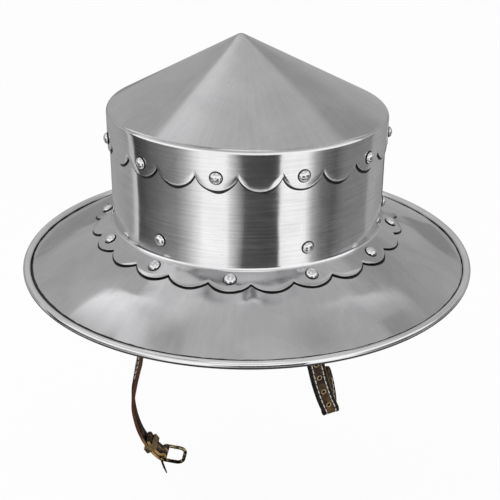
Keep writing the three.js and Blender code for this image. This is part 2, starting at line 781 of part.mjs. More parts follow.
const buckleSide = new THREE.Group();
buckleSide.rotation.z = radians(-strapAngle);
addPart(buckleSide, 'buckle_strap', buckleStrap(), strapLeather);
addPart(buckleSide, 'buckle_frame', buckleFrame(), oldBrass);
addPart(buckleSide, 'buckle_prong', buckleProng(), oldBrass);
addPart(buckleSide, 'strap_keeper', keeper(), strapLeather);
hat.add(tailSide, buckleSide);

export default hat;
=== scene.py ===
# %% [markdown]
# # A riveted kettle hat
# A kettle hat is a steel helmet with a wide sloping brim. This one is put together from three sheets: a cone
# for the crown, an upright band and the brim, held by rows of rivets through scalloped hems.
# The sizes and the moving bodies come from a finished CAD model, the frame. This lesson builds smooth,
# detailed pieces on that frame and gives each one a finish.

# %% Load the frame
import math
import random

import bmesh
import bpy
from mathutils import Matrix, Vector


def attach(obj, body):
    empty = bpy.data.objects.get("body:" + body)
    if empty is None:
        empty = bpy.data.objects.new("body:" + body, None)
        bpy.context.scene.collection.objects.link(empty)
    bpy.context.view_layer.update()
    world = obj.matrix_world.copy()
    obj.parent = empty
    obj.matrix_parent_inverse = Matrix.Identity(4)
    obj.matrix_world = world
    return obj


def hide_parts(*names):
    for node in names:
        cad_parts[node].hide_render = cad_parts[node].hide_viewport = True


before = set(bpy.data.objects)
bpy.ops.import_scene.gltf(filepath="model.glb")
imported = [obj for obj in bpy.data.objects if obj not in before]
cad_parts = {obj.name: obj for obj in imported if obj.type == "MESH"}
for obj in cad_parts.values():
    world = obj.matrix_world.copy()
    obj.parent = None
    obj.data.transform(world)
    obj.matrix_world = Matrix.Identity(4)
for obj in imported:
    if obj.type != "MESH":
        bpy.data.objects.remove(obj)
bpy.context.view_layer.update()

# %% [markdown]
# ## The camera
# The camera stands 36 degrees round from the front, on the wearer's left, and looks down by about 25 degrees
# through a lens of 75 mm. It was found by matching the ellipses of the brim and the crease. It is placed from
# the middle of the brim's edge and turned as a whole, so its tiny roll is easy to keep.

# %% Camera
LENS = 74.69
SENSOR_WIDTH = 36
RIM_HEIGHT = -0.1375
CAMERA_TURN = math.radians(36)
CAMERA_ROLL = math.radians(-0.317)
CAMERA_TILT = math.radians(25.335)
CAMERA_OFFSET = Vector((0.002424, -0.76816, 0.36473))


def add_object(name, data):
    """Puts a mesh, a lamp or a camera into the scene as an object."""
    made = bpy.data.objects.new(name, data)
    bpy.context.scene.collection.objects.link(made)
    return made


camera_data = bpy.data.cameras.new("photo_lens")
camera_data.lens = LENS
camera_data.sensor_width = SENSOR_WIDTH
camera = add_object("photo_camera", camera_data)
stand_turn = Matrix.Rotation(CAMERA_TURN, 4, "Z") @ Matrix.Rotation(CAMERA_ROLL, 4, "Y")
stand_place = Matrix.Translation((0, 0, RIM_HEIGHT)) @ stand_turn @ Matrix.Translation(CAMERA_OFFSET)
camera.matrix_world = stand_place @ Matrix.Rotation(math.pi / 2 - CAMERA_TILT, 4, "X")
bpy.context.scene.camera = camera
print("camera at", [round(v, 4) for v in camera.matrix_world.translation])

# %% [markdown]
# ## Sizes of the hat
# All sizes are in metres and in the frame's own places: zero height is the seat of the head, and the wearer
# looks along minus Y. The brim line is the height where the slope of the brim meets the band.

# %% Sizes
SHEET = 0.0012
SEAM = 0.0003
SEAT = 0.140499
BAND_RADIUS = 0.1068
WALL_HEIGHT = 0.088
CROWN_RISE = 0.0567
CROWN_TILT = 0.0024
CROWN_TILT_ANGLE = math.radians(-18)
TIP_LEAN = 0.0052
TIP_LEAN_ANGLE = math.radians(-54)
SHOULDER_RADIUS = 0.005
TIP_RADIUS = 0.006
BRIM_WIDTH = 0.0702
BRIM_RISE = 0.036
WIRE_RADIUS = 0.0015
BEND_RADIUS = 0.004
SKIRT_DEPTH = 0.028
SKIRT_LOBE_DEPTH = 0.010
SKIRT_LOBES = 22
FLANGE_WIDTH = 0.0167
FLANGE_LOBE_DEPTH = 0.006
FLANGE_LOBES = 24

ROLL_INNER = WIRE_RADIUS + SEAM
ROLL_OUTER = ROLL_INNER + SHEET
ROLL_CENTRE = BAND_RADIUS + BRIM_WIDTH
ROLL_HEIGHT = ROLL_OUTER - SEAT
BRIM_SLOPE = math.atan2(BRIM_RISE, BRIM_WIDTH)
BRIM_LINE = ROLL_HEIGHT + BRIM_RISE
CREASE = BRIM_LINE + WALL_HEIGHT
SKIRT_RADIUS = BAND_RADIUS + SEAM + SHEET
SKIRT_HEM = CREASE - SKIRT_DEPTH
BAND_INSIDE = BAND_RADIUS - SHEET
print("crease at", round(CREASE, 4), "brim line at", round(BRIM_LINE, 4))


def brim_height(radius, lift):
    """Height of a line that runs parallel to the brim, lifted square to it."""
    return ROLL_HEIGHT + (ROLL_CENTRE - radius) * math.tan(BRIM_SLOPE) + lift / math.cos(BRIM_SLOPE)


def at_azimuth(radius, height, angle):
    """A place on the hat. Azimuth zero is the front, and it grows towards the wearer's left."""
    return Vector((radius * math.sin(angle), -radius * math.cos(angle), height))


# %% [markdown]
# ## From outlines to meshes
# A raised or turned sheet has the same section all the way round, apart from its hem. A strap or a cord has
# the same section all along. So nearly every piece here is a row of closed outlines that gets a skin of
# quads. One helper makes that skin, and one turns it into a smooth-shaded object on a moving body.

# %% Mesh helpers
SHARP_EDGE = math.radians(38)
WELD = 0.0000002


def spread(start, end, steps):
    """Evenly spaced values from start to end, both included."""
    return [start + (end - start) * i / steps for i in range(steps + 1)]


def arc(x, y, radius, start, end, steps):
    """Points of an arc, both ends included."""
    return [(x + radius * math.cos(t), y + radius * math.sin(t)) for t in spread(start, end, steps)]


def circle(radius, sides):
    """Evenly spaced points of a whole circle."""
    return arc(0, 0, radius, 0, 2 * math.pi, sides)[:-1]


def round_corners(corners, radius, steps):
    """Quarter arcs round four corner centres, from the one at the upper right on and against the clock."""
    points = []
    for quarter, (x, y) in enumerate(corners):
        points += arc(x, y, radius, quarter * math.pi / 2, (quarter + 1) * math.pi / 2, steps)
    return points


def sum_of_sines(angle, waves):
    """A smooth unevenness round the hat, from waves given as (height, number of turns, start)."""
    return sum(height * math.sin(turns * angle + start) for height, turns, start in waves)


def ring_faces(rings, sides, closed):
    """Quads between neighbouring rings of points, and flat ends where the rings don't meet again."""
    faces = []
    for i in range(rings if closed else rings - 1):
        here = i * sides
        there = (i + 1) % rings * sides
        for k in range(sides):
            other = (k + 1) % sides
            faces.append((here + k, here + other, there + other, there + k))
    if not closed:
        faces.append(tuple(range(sides)))
        faces.append(tuple(range((rings - 1) * sides, rings * sides)))
    return faces


def forged_mesh(name, points, faces, finishes, finish_of=None, run_of=None):
    """A welded, smooth-shaded mesh. run_of gives each point's place along and across a strap."""
    mesh = bpy.data.meshes.new(name)
    mesh.from_pydata([tuple(p) for p in points], [], faces)
    for finish in finishes:
        mesh.materials.append(finish)
    if finish_of is not None:
        mesh.polygons.foreach_set("material_index", finish_of)
    if run_of is not None:
        layer = mesh.uv_layers.new(name="strap_run")
        for loop in mesh.loops:
            layer.data[loop.index].uv = run_of[loop.vertex_index]
    welded = bmesh.new()
    welded.from_mesh(mesh)
    bmesh.ops.remove_doubles(welded, verts=welded.verts, dist=WELD)
    bmesh.ops.recalc_face_normals(welded, faces=welded.faces)
    welded.to_mesh(mesh)
    welded.free()
    mesh.shade_smooth()
    mesh.set_sharp_from_angle(angle=SHARP_EDGE)
    return mesh


def place_piece(name, mesh, body, stands_for=()):
    """Puts a mesh on a body and hides the CAD nodes it stands for."""
    piece = add_object(name, mesh)
    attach(piece, body)
    if stands_for:
        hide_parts(*stands_for)
    return piece


def turned(mesh, angle):
    """Turns a mesh that was drawn in front round the hat's axis."""
    mesh.transform(Matrix.Rotation(angle, 4, "Z"))
    return mesh


def round_sheet(name, outline_at, columns, finishes, other_faces=None):
    """A sheet that goes all the way round the axis. other_faces says which rows take another finish."""
    points = []
    for column in range(columns):
        angle = 2 * math.pi * column / columns
        points += [Vector(p) if len(p) == 3 else at_azimuth(*p, angle) for p in outline_at(angle)]
    sides = len(points) // columns
    faces = ring_faces(columns, sides, True)
    finish_of = [(other_faces or {}).get(i % sides, 0) for i in range(len(faces))]
    return forged_mesh(name, points, faces, finishes, finish_of)


def frames_along(path, across, closed=False):
    """A side and an up direction at each place of a path. The side stays as near as it can to across."""
    frames = []
    for i, place in enumerate(path):
        before = path[i - 1] if closed or i > 0 else place
        after = path[(i + 1) % len(path)] if closed or i < len(path) - 1 else place
        along = (after - before).normalized()
        side = across(i / (len(path) - 1))
        side = (side - along * side.dot(along)).normalized()
        frames.append((side, along.cross(side)))
    return frames


def tube_parts(path, radius_at, sides, across, closed=False):
    """Points and faces of a round tube along a path."""
    points = []
    for i, (side, up) in enumerate(frames_along(path, across, closed)):
        points += [path[i] + side * u + up * v for u, v in circle(radius_at(i / (len(path) - 1)), sides)]
    return points, ring_faces(len(path), sides, closed)


def joined(parts):
    """Points and faces of several parts as one."""
    points = []
    faces = []
    for more_points, more_faces in parts:
        start = len(points)
        points += more_points
        faces += [tuple(start + i for i in face) for face in more_faces]
    return points, faces


def place_parts(name, parts, finish, body, stands_for=(), angle=0):
    """Joins parts that were drawn in front to one piece, and turns it to its place round the axis."""
    mesh = turned(forged_mesh(name, *joined(parts), [finish]), angle)
    print(name, "faces:", len(mesh.polygons))
    place_piece(name, mesh, body, stands_for)


def clamped_share(value, start, end):
    """How far a value has come from start to end, between zero and one."""
    return min(max((value - start) / (end - start), 0), 1)


def lobe_offset(angle, lobes, first):
    """Angle from the middle of the nearest lobe."""
    turns = (angle - first) * lobes / (2 * math.pi)
    return (turns - round(turns)) * 2 * math.pi / lobes


def lobe_circle(half_width, depth):
    """Radius of the circle that gives a lobe its width and depth."""
    return (half_width ** 2 + depth ** 2) / (2 * depth)


print("mesh helpers are ready")

# %% [markdown]
# ## How a finish is drawn
# A finish is a small network of nodes. These helpers keep that network readable: noise for clouds and
# scratches, a remap from one range to another, a blend of two colours and a chain of bumps. The steel also
# needs scratches that run round the hat, or up and down it, without a seam. For that, the direction round the
# axis, the distance from it and the height are stretched by different amounts before they go into the noise.

# %% Finish helpers
def link(out_socket, in_socket):
    in_socket.id_data.links.new(out_socket, in_socket)


def plug(value, socket):
    """Links a socket, or writes a plain number, vector or colour."""
    if isinstance(value, bpy.types.NodeSocket):
        link(value, socket)
    elif isinstance(value, tuple) and len(socket.default_value) == 4:
        socket.default_value = (*value, 1)
    else:
        socket.default_value = value


def add_node(neighbour, kind, **settings):
    """A node in the network of another node or socket. Its inputs can be given as sockets or plain values."""
    node = neighbour.id_data.nodes.new(kind)
    for key, value in settings.items():
        if key in node.inputs:
            plug(value, node.inputs[key])
        else:
            setattr(node, key, value)
    return node


def calculate(operation, first, second=0.0):
    node = add_node(first, "ShaderNodeMath", operation=operation)
    plug(first, node.inputs[0])
    plug(second, node.inputs[1])
    return node.outputs[0]


def remap(value, low, high, to_low=0.0, to_high=1.0):
    ends = {"From Min": low, "From Max": high, "To Min": to_low, "To Max": to_high}
    return add_node(value, "ShaderNodeMapRange", Value=value, **ends).outputs["Result"]


def blend_colours(share, first, second):
    node = add_node(share, "ShaderNodeMix", data_type="RGBA", Factor=share)
    plug(first, node.inputs[6])
    plug(second, node.inputs[7])
    return node.outputs[2]


def stained(colour, mask, low, high, stain, strength=1.0):
    """A colour that takes another one where a mask rises from low to high."""
    return blend_colours(remap(mask, low, high, 0.0, strength), colour, stain)


def noise(place, scale, detail, roughness, distortion=0.0):
    """Cloudy values from 0 to 1, with a scale of so many clouds to a metre."""
    node = add_node(place, "ShaderNodeTexNoise", Vector=place, Scale=scale, Detail=detail,
                    Roughness=roughness, Distortion=distortion)
    return node.outputs["Fac"]


def cell_net(place, scale):
    """Distance from the middles of many small cells, like the grain or the pores of leather."""
    return add_node(place, "ShaderNodeTexVoronoi", Vector=place, Scale=scale).outputs["Distance"]


def own_place(neighbour):
    return add_node(neighbour, "ShaderNodeTexCoord").outputs["Object"]


def vector_math(operation, vector, **settings):
    return add_node(vector, "ShaderNodeVectorMath", operation=operation, Vector=vector, **settings)


def hat_place(neighbour, around, outward, up):
    """Places stretched round the hat's axis, away from it and upwards."""
    parts = add_node(neighbour, "ShaderNodeSeparateXYZ", Vector=own_place(neighbour)).outputs
    flat = add_node(neighbour, "ShaderNodeCombineXYZ", X=parts["X"], Y=parts["Y"]).outputs[0]
    reach = calculate("MULTIPLY", vector_math("LENGTH", flat).outputs["Value"], outward)
    lift = calculate("ADD", reach, calculate("MULTIPLY", parts["Z"], up))
    heading = vector_math("NORMALIZE", flat).outputs[0]
    total = vector_math("ADD", vector_math("SCALE", heading, Scale=around).outputs[0])
    link(add_node(neighbour, "ShaderNodeCombineXYZ", Z=lift).outputs[0], total.inputs[1])
    return total.outputs[0]


def new_finish(name, **shader_values):
    """A finish and its shader. An underscore in the name of a value stands for a space."""
    finish = bpy.data.materials.new(name)
    finish.use_nodes = True
    shader = finish.node_tree.nodes["Principled BSDF"]
    for key, value in shader_values.items():
        shader.inputs[key.replace("_", " ")].default_value = value
    return finish, shader


def dress(shader, colour, bumps, roughness=None):
    """Gives a shader its colour, its roughness and a chain of bumps, each a (height, depth in metres)."""
    link(colour, shader.inputs["Base Color"])
    if roughness is not None:
        link(roughness, shader.inputs["Roughness"])
    before = {}
    for height, depth in bumps:
        bump = add_node(shader, "ShaderNodeBump", Strength=1.0, Distance=depth, Height=height, **before)
        before = {"Normal": bump.outputs["Normal"]}
    link(bump.outputs["Normal"], shader.inputs["Normal"])


print("finish helpers are ready")

# %% [markdown]
# ## Steel
# Worked steel is never one even grey. It has fine scratches from polishing, soft waves from the hammer, faint
# clouds in its gloss, pits, and single scratches that cross one another. The crown and the brim are ground to
# a satin that still mirrors large shapes. The band is polished round and round, so its scratches are level
# and its reflections are drawn out upwards, which a little anisotropy does on top of the bump. Each finish
# says how much its colour follows the polishing lines and how much it follows the clouds.

# %% Steel finishes
SCRATCH_LEANS = (0.8, -0.5)
SCRATCH_STRETCH = (1400, 26, 60)
SCRATCH_STRENGTH = 0.8
SCRATCH_LIGHTER = 1.35
LIGHTEST = 0.98
PIT_DARKER = 0.35


def crossing_scratches(shader, lean):
    """Thin, broken lines that lean to one side, as a mask."""
    turn = add_node(shader, "ShaderNodeMapping", Vector=own_place(shader),
                    Rotation=(lean, 0.4 * lean, lean), Scale=SCRATCH_STRETCH)
    return remap(noise(turn.outputs[0], 1.0, 2.0, 0.5), 0.70, 0.76)


def steel(name, light, dark, gloss, scratch, scratch_depth, wave, wave_depth, line_share, drawn_out=0.0):
    """Two greys, a (low, high) roughness, and (around, outward, up) stretches of scratches and waves.

    line_share says how much the grey follows the scratches, and drawn_out how much reflections are stretched.
    """
    finish, shader = new_finish(name, Metallic=1.0, Anisotropic=drawn_out, Anisotropic_Rotation=0.25)
    if drawn_out:
        tangent = add_node(shader, "ShaderNodeTangent", direction_type="RADIAL", axis="Z")
        link(tangent.outputs[0], shader.inputs["Tangent"])
    lines = noise(hat_place(shader, *scratch), 1.0, 4.0, 0.62)
    clouds = noise(own_place(shader), 22.0, 5.0, 0.6, 0.6)
    grains = noise(own_place(shader), 900.0, 2.0, 0.6)
    waves = noise(hat_place(shader, *wave), 1.0, 1.0, 0.4)
    tone = calculate("ADD", calculate("MULTIPLY", clouds, 1 - line_share),
                     calculate("MULTIPLY", lines, line_share))
    grey = stained(dark, tone, 0.38, 0.62, light)
    scratches = calculate("MAXIMUM", *[crossing_scratches(shader, lean) for lean in SCRATCH_LEANS])
    scratched_grey = tuple(min(v * SCRATCH_LIGHTER, LIGHTEST) for v in light)
    scratched = calculate("MULTIPLY", scratches, line_share * SCRATCH_STRENGTH)
    grey = blend_colours(scratched, grey, scratched_grey)
    grey = stained(grey, grains, 0.71, 0.76, tuple(v * PIT_DARKER for v in dark))
    dress(shader, grey, [(waves, wave_depth), (lines, scratch_depth), (grains, scratch_depth / 3)],
          remap(tone, 0.35, 0.65, *gloss))
    return finish


SATIN_LIGHT = (0.66, 0.66, 0.67)
SATIN_DARK = (0.57, 0.57, 0.58)
crown_steel = steel(
    "satin_crown_steel", light=SATIN_LIGHT, dark=SATIN_DARK, gloss=(0.09, 0.17), scratch=(30, 30, 30),
    scratch_depth=0.000008, wave=(1.2, 16, 16), wave_depth=0.0007, line_share=0.3,
)
band_steel = steel(
    "polished_band_steel", light=(0.95, 0.95, 0.96), dark=(0.76, 0.76, 0.77), gloss=(0.09, 0.17),
    scratch=(2.2, 0, 900), scratch_depth=0.000010, wave=(4, 16, 16), wave_depth=0.0005, line_share=0.5,
    drawn_out=0.45,
)
brim_steel = steel(
    "hand_polished_brim_steel", light=SATIN_LIGHT, dark=SATIN_DARK, gloss=(0.08, 0.16),
    scratch=(34, 34, 34), scratch_depth=0.000008, wave=(4, 30, 30), wave_depth=0.0011, line_share=0.2,
)
rivet_steel = steel(
    "bright_rivet_steel", light=(0.94, 0.94, 0.95), dark=(0.80, 0.80, 0.81), gloss=(0.06, 0.12),
    scratch=(3, 700, 700), scratch_depth=0.000006, wave=(2, 200, 200), wave_depth=0.00006, line_share=0.5,
)
plain_steel = steel(
    "plain_grey_steel", light=(0.52, 0.52, 0.52), dark=(0.36, 0.35, 0.34), gloss=(0.28, 0.46),
    scratch=(3, 500, 500), scratch_depth=0.00003, wave=(2, 200, 200), wave_depth=0.0003, line_share=0.5,
)
# The dark steel of raw cut edges also paints the shade in the brim's crease, beside hems and at the foot of
# each rivet head.
cut_edge_and_shade_steel = steel(
    "dark_cut_edge_and_painted_shade_steel", light=(0.09, 0.09, 0.09), dark=(0.02, 0.02, 0.02), gloss=(0.40, 0.60),
    scratch=(300, 300, 300), scratch_depth=0.00005, wave=(30, 90, 90), wave_depth=0.0002, line_share=0.5,
)
print("steel finishes:", [m.name for m in bpy.data.materials if "steel" in m.name])

# %% [markdown]
# ## The crown
# The crown is a cone with a rounded tip. At the crease it turns down into a short skirt, whose lower edge is
# cut in 22 lobes. A real one is raised from a disc, and its hem is sawn and filed. Here the outline of the
# sheet, with its true thickness, goes round the axis, and only the last rows follow the lobes. The outer
# corner of the hem is filed bright, and the rest of the cut edge stays dark. No hammered crown is quite even:
# this one's crease climbs a little at one side, and its tip stands off the axis. One function moves each
# place of the even crown to where the hammer left it, and fades out down the skirt, so that the hem stays.
# The cone is ground to a satin, and the skirt is polished like the band below it.

# %% Crown
CROWN_SLOPE = math.atan2(CROWN_RISE, SKIRT_RADIUS)
CROWN_TIP = CREASE + CROWN_RISE
FIRST_SKIRT_LOBE = -math.pi / SKIRT_LOBES
SKIRT_CIRCLE = lobe_circle(math.pi * SKIRT_RADIUS / SKIRT_LOBES, SKIRT_LOBE_DEPTH)
LOBE_COLUMNS = 22
EDGE_ROUND = 0.00035
EDGE_STEPS = 3
TIP_STEPS = 5
CONE_STEPS = 8
SHOULDER_STEPS = 8


def filed_edge(outer, inner, back):
    """Points from the outer face of a sheet round its filed edge to the inner face."""
    outer = Vector(outer)
    inner = Vector(inner)
    back = Vector(back)
    across = (inner - outer).normalized()
    points = []
    for turn in spread(0, math.pi / 2, EDGE_STEPS):
        points.append(outer + (across * (1 - math.cos(turn)) + back * (1 - math.sin(turn))) * EDGE_ROUND)
    for turn in spread(math.pi / 2, 0, EDGE_STEPS):
        points.append(inner + (back * (1 - math.sin(turn)) - across * (1 - math.cos(turn))) * EDGE_ROUND)
    return [tuple(p) for p in points]


def crown_section():
    """Places on the outside of the crown and their outward directions, from the tip to the skirt."""
    tip_centre = CROWN_TIP - TIP_RADIUS / math.cos(CROWN_SLOPE)
    side = SKIRT_RADIUS - SHOULDER_RADIUS
    shoulder_centre = CROWN_TIP - side * math.tan(CROWN_SLOPE) - SHOULDER_RADIUS / math.cos(CROWN_SLOPE)
    tip = [(TIP_RADIUS * math.sin(t), tip_centre + TIP_RADIUS * math.cos(t), t)
           for t in spread(0, CROWN_SLOPE, TIP_STEPS)]
    shoulder = [(side + SHOULDER_RADIUS * math.sin(t), shoulder_centre + SHOULDER_RADIUS * math.cos(t), t)
                for t in spread(CROWN_SLOPE, math.pi / 2, SHOULDER_STEPS)]
    start, end = tip[-1], shoulder[0]
    cone = [(start[0] + (end[0] - start[0]) * s, start[1] + (end[1] - start[1]) * s, CROWN_SLOPE)
            for s in spread(0, 1, CONE_STEPS)[1:-1]]
    return tip + cone + shoulder


CROWN_SECTION = crown_section()
RUN_SHARES = spread(0, 1, 4)[1:-1]


def skirt_hem(angle):
    """Height of the skirt's lobed hem."""
    along = SKIRT_RADIUS * lobe_offset(angle, SKIRT_LOBES, FIRST_SKIRT_LOBE)
    return SKIRT_HEM + SKIRT_CIRCLE - math.sqrt(SKIRT_CIRCLE ** 2 - along ** 2)


def hand_raised(point, hem):
    """Where the hammer left a place of the even crown."""
    share = clamped_share(point.z, hem, CROWN_SECTION[-1][1])
    climb = share * CROWN_TILT * at_azimuth(1, 0, CROWN_TILT_ANGLE).dot(point) / SKIRT_RADIUS
    rise = max(point.z - CREASE, 0) / CROWN_RISE
    return point + at_azimuth(TIP_LEAN * rise, climb, TIP_LEAN_ANGLE)


def crown_outline(angle):
    """The crown's sheet at one azimuth: down its outer face, round the hem and up its inner face."""
    hem = skirt_hem(angle)
    top = CROWN_SECTION[-1][1]
    skirt = [top + (hem + EDGE_ROUND - top) * share for share in RUN_SHARES]
    outer = [(r, z) for r, z, _ in CROWN_SECTION] + [(SKIRT_RADIUS, z) for z in skirt]
    inner = [(max(r - SHEET * math.sin(t), 0), z - SHEET * math.cos(t)) for r, z, t in CROWN_SECTION]
    inner += [(SKIRT_RADIUS - SHEET, z) for z in skirt]
    outline = outer + filed_edge((SKIRT_RADIUS, hem), (SKIRT_RADIUS - SHEET, hem), (0, 1)) + inner[::-1]
    return [hand_raised(at_azimuth(r, z, angle), hem) for r, z in outline]


def hem_faces(first, start):
    """Finish numbers of rows: 2 for a hem from its first row on, and 1 for its cut edge, which stays dark."""
    face = {row: 2 for row in range(first, start + EDGE_STEPS)}
    return {**face, **{row: 1 for row in range(start + EDGE_STEPS, start + 2 * EDGE_STEPS + 1)}}


SKIRT_FIRST_ROW = len(CROWN_SECTION) - 4
crown_mesh = round_sheet("crown_sheet", crown_outline, SKIRT_LOBES * LOBE_COLUMNS,
                         [crown_steel, cut_edge_and_shade_steel, band_steel],
                         hem_faces(SKIRT_FIRST_ROW, len(CROWN_SECTION) + len(RUN_SHARES)))
place_piece("crown_sheet", crown_mesh, "hat", ["crown_cap"])
print("crown faces:", len(crown_mesh.polygons))

# %% [markdown]
# ## The band
# The band is a straight wall. Its foot is turned outwards into a flange that lies on the brim, and the
# flange's edge is cut in 24 lobes. The lobes are arcs in the plane of the brim, so the outline is worked out
# from circles in plan, and the slope gives each point its height. Below each hem a narrow strip of the sheet,
# a little uneven, takes the dark finish of a cut edge: a painted shadow of the hem, with the dirt that
# gathers in the corner under it.
# The flange was rubbed down together with the brim, so it has the brim's finish.

# %% Band
FLANGE_REACH = BAND_RADIUS + FLANGE_WIDTH
FLANGE_PITCH = 2 * math.pi / FLANGE_LOBES
FLANGE_NOTCH = FLANGE_REACH - FLANGE_LOBE_DEPTH
FLANGE_CIRCLE = lobe_circle(
    FLANGE_NOTCH * math.sin(FLANGE_PITCH / 2), FLANGE_REACH - FLANGE_NOTCH * math.cos(FLANGE_PITCH / 2)
)
FLANGE_LIFT = SEAM - ROLL_INNER
WALL_TOP = CREASE - CROWN_TILT - SHOULDER_RADIUS
SHADE_STRIP_WIDTH = 0.0007
SHADE_STRIP_CHANGE = 0.22
BEND_STEPS = 8
WALL_ROWS = 4
SHADOW_WIDTH = 0.0015


def flange_hem(angle):
    """Distance from the axis to the edge of the flange's lobes."""
    offset = lobe_offset(angle, FLANGE_LOBES, 0)
    middle = FLANGE_REACH - FLANGE_CIRCLE
    return middle * math.cos(offset) + math.sqrt(FLANGE_CIRCLE ** 2 - (middle * math.sin(offset)) ** 2)


def shade_strip_width(angle):
    """Width of the painted shadow strip beside a hem, a little more at some places than at others."""
    uneven = math.sin(5 * angle + 1) + math.sin(17 * angle) + math.sin(41 * angle + 2) * math.sin(3 * angle)
    return SHADE_STRIP_WIDTH * (1 + SHADE_STRIP_CHANGE * uneven)


def foot_bend(radius, lift, bend):
    """Points of the bend from the wall's face at a radius to a line parallel to the brim."""
    centre_r = radius + bend
    centre_z = brim_height(centre_r, lift) + bend / math.cos(BRIM_SLOPE)
    return arc(centre_r, centre_z, bend, math.pi, math.pi * 3 / 2 - BRIM_SLOPE, BEND_STEPS)


def band_outline(angle):
    """The band at one azimuth: down the wall and out along the flange, and back on the other face."""
    hem = flange_hem(angle)
    upper = FLANGE_LIFT + SHEET
    outer_bend = foot_bend(BAND_RADIUS, upper, BEND_RADIUS)
    inner_bend = foot_bend(BAND_INSIDE, FLANGE_LIFT, BEND_RADIUS + SHEET)
    # The rows from under_hem down to below bound the strip that takes the dark finish: a painted shadow of
    # the skirt's hem.
    under_hem = skirt_hem(angle) + SHADE_STRIP_WIDTH
    below = under_hem - SHADOW_WIDTH - 2 * shade_strip_width(angle)
    wall = [WALL_TOP, under_hem, below, (below + outer_bend[0][1]) / 2]
    bend_end = outer_bend[-1][0]
    runs = [bend_end + (hem - EDGE_ROUND - bend_end) * share for share in RUN_SHARES]
    outer = [(BAND_RADIUS, z) for z in wall] + outer_bend + [(r, brim_height(r, upper)) for r in runs]
    inner = [(BAND_INSIDE, z) for z in wall] + inner_bend + [(r, brim_height(r, FLANGE_LIFT)) for r in runs]
    down = SHEET * math.sin(BRIM_SLOPE)
    edge = filed_edge(
        (hem, brim_height(hem, upper)), (hem - down, brim_height(hem - down, FLANGE_LIFT)),
        (-math.cos(BRIM_SLOPE), math.sin(BRIM_SLOPE)),
    )
    return outer + edge + inner[::-1]


FLANGE_FIRST_ROW = WALL_ROWS + BEND_STEPS - 2
BAND_FACE_ROWS = WALL_ROWS + BEND_STEPS + 1 + len(RUN_SHARES)
BAND_COLUMNS = FLANGE_LOBES * SKIRT_LOBES
# Row 1, the strip under the skirt's hem, takes the dark finish as a painted shadow.
band_mesh = round_sheet("skull_band_sheet", band_outline, BAND_COLUMNS,
                        [band_steel, cut_edge_and_shade_steel, brim_steel],
                        {1: 1, **hem_faces(FLANGE_FIRST_ROW, BAND_FACE_ROWS)})
place_piece("skull_band_sheet", band_mesh, "hat", ["skull_band"])
print("band faces:", len(band_mesh.polygons))

# %% [markdown]
# ## The brim
# The brim is a wide cone of sheet. Hammering has left a slight swell outside the flange, and so the brim
# mirrors the band there. Its edge is rolled up and over a wire, which makes it stiff and safe to touch. The
# raw edge comes to lie on the top of the brim, a little uneven, and hands have rubbed the roll bright. The
# crease beside the raw edge, and a narrow strip beside the flange's hem, take the dark finish of a cut edge
# as painted shade. The amount of roll and the width of the crease change round the hat, by sums of
# sines with whole turns.

# %% Brim
BRIM_COLUMNS = FLANGE_LOBES * LOBE_COLUMNS
CREASE_WIDTH = 0.0039
CREASE_CHANGE = 0.0018
CREASE_WIDEST = math.radians(20)
ROLL_STEPS = 22
ROLL_TURN = 176
ROLL_WAVES = [(4.0, 7, 0.8), (3.0, 19, 2.1), (2.0, 53, 0)]
LIP_CHANGE = 0.6
COVERED_RUNS = 3
WIRE_SIDES = 14
ROLL_START = -math.pi / 2 - BRIM_SLOPE
SWELL = 0.0008
SWELL_PEAK = 0.33
BARE_SHARES = [0, 0.07, 0.13, 0.19, 0.25, 0.33, 0.42, 0.52, 0.63, 0.75, 0.88, 1]


def swell(share):
    """How far the brim stands above an even cone, at a share of the way from the hem to the crease."""
    if share < SWELL_PEAK:
        return SWELL * math.sin(math.pi / 2 * share / SWELL_PEAK) ** 2
    return SWELL * math.cos(math.pi / 2 * (share - SWELL_PEAK) / (1 - SWELL_PEAK)) ** 2


def roll_end(angle):
    """How far the edge is rolled over, by hand and so not quite evenly."""
    return math.radians(ROLL_TURN + sum_of_sines(angle, ROLL_WAVES))


def brim_outline(angle):
    """The brim at one azimuth: out along its underside, round the roll and back in, and along the top."""
    end = roll_end(angle)
    crease = CREASE_WIDTH + CREASE_CHANGE * math.cos(angle - CREASE_WIDEST)
    # The lip's unevenness borrows the uneven width of the painted shadow strip.
    lip = ROLL_CENTRE - crease - LIP_CHANGE * (shade_strip_width(3 * angle) - SHADE_STRIP_WIDTH)
    hem = flange_hem(angle)
    # From dark_hem out to bare_from the top of the brim takes the dark finish: a painted shadow beside the
    # flange's hem.
    dark_hem = hem - math.sin(BRIM_SLOPE) * SHEET - SHADE_STRIP_WIDTH
    bare_from = hem + shade_strip_width(angle)
    runs = [(r, 0) for r in (BAND_INSIDE, (BAND_INSIDE + dark_hem) / 2, dark_hem)]
    runs += [(bare_from + (lip - bare_from) * share, swell(share)) for share in BARE_SHARES]
    under = [(r, brim_height(r, -ROLL_OUTER) + rise) for r, rise in runs]
    over = [(r, brim_height(r, -ROLL_INNER) + rise) for r, rise in runs]
    outside = arc(ROLL_CENTRE, ROLL_HEIGHT, ROLL_OUTER, ROLL_START, end, ROLL_STEPS)
    inside = arc(ROLL_CENTRE, ROLL_HEIGHT, ROLL_INNER, end, ROLL_START, ROLL_STEPS)
    return under + outside + inside + over[::-1]


BRIM_RUNS = COVERED_RUNS + len(BARE_SHARES)
roll_edge = BRIM_RUNS + ROLL_STEPS
crease_row = roll_edge + 1 + ROLL_STEPS
hem_row = crease_row + len(BARE_SHARES)
rubbed_rows = {row: 2 for row in range(BRIM_RUNS, roll_edge)}
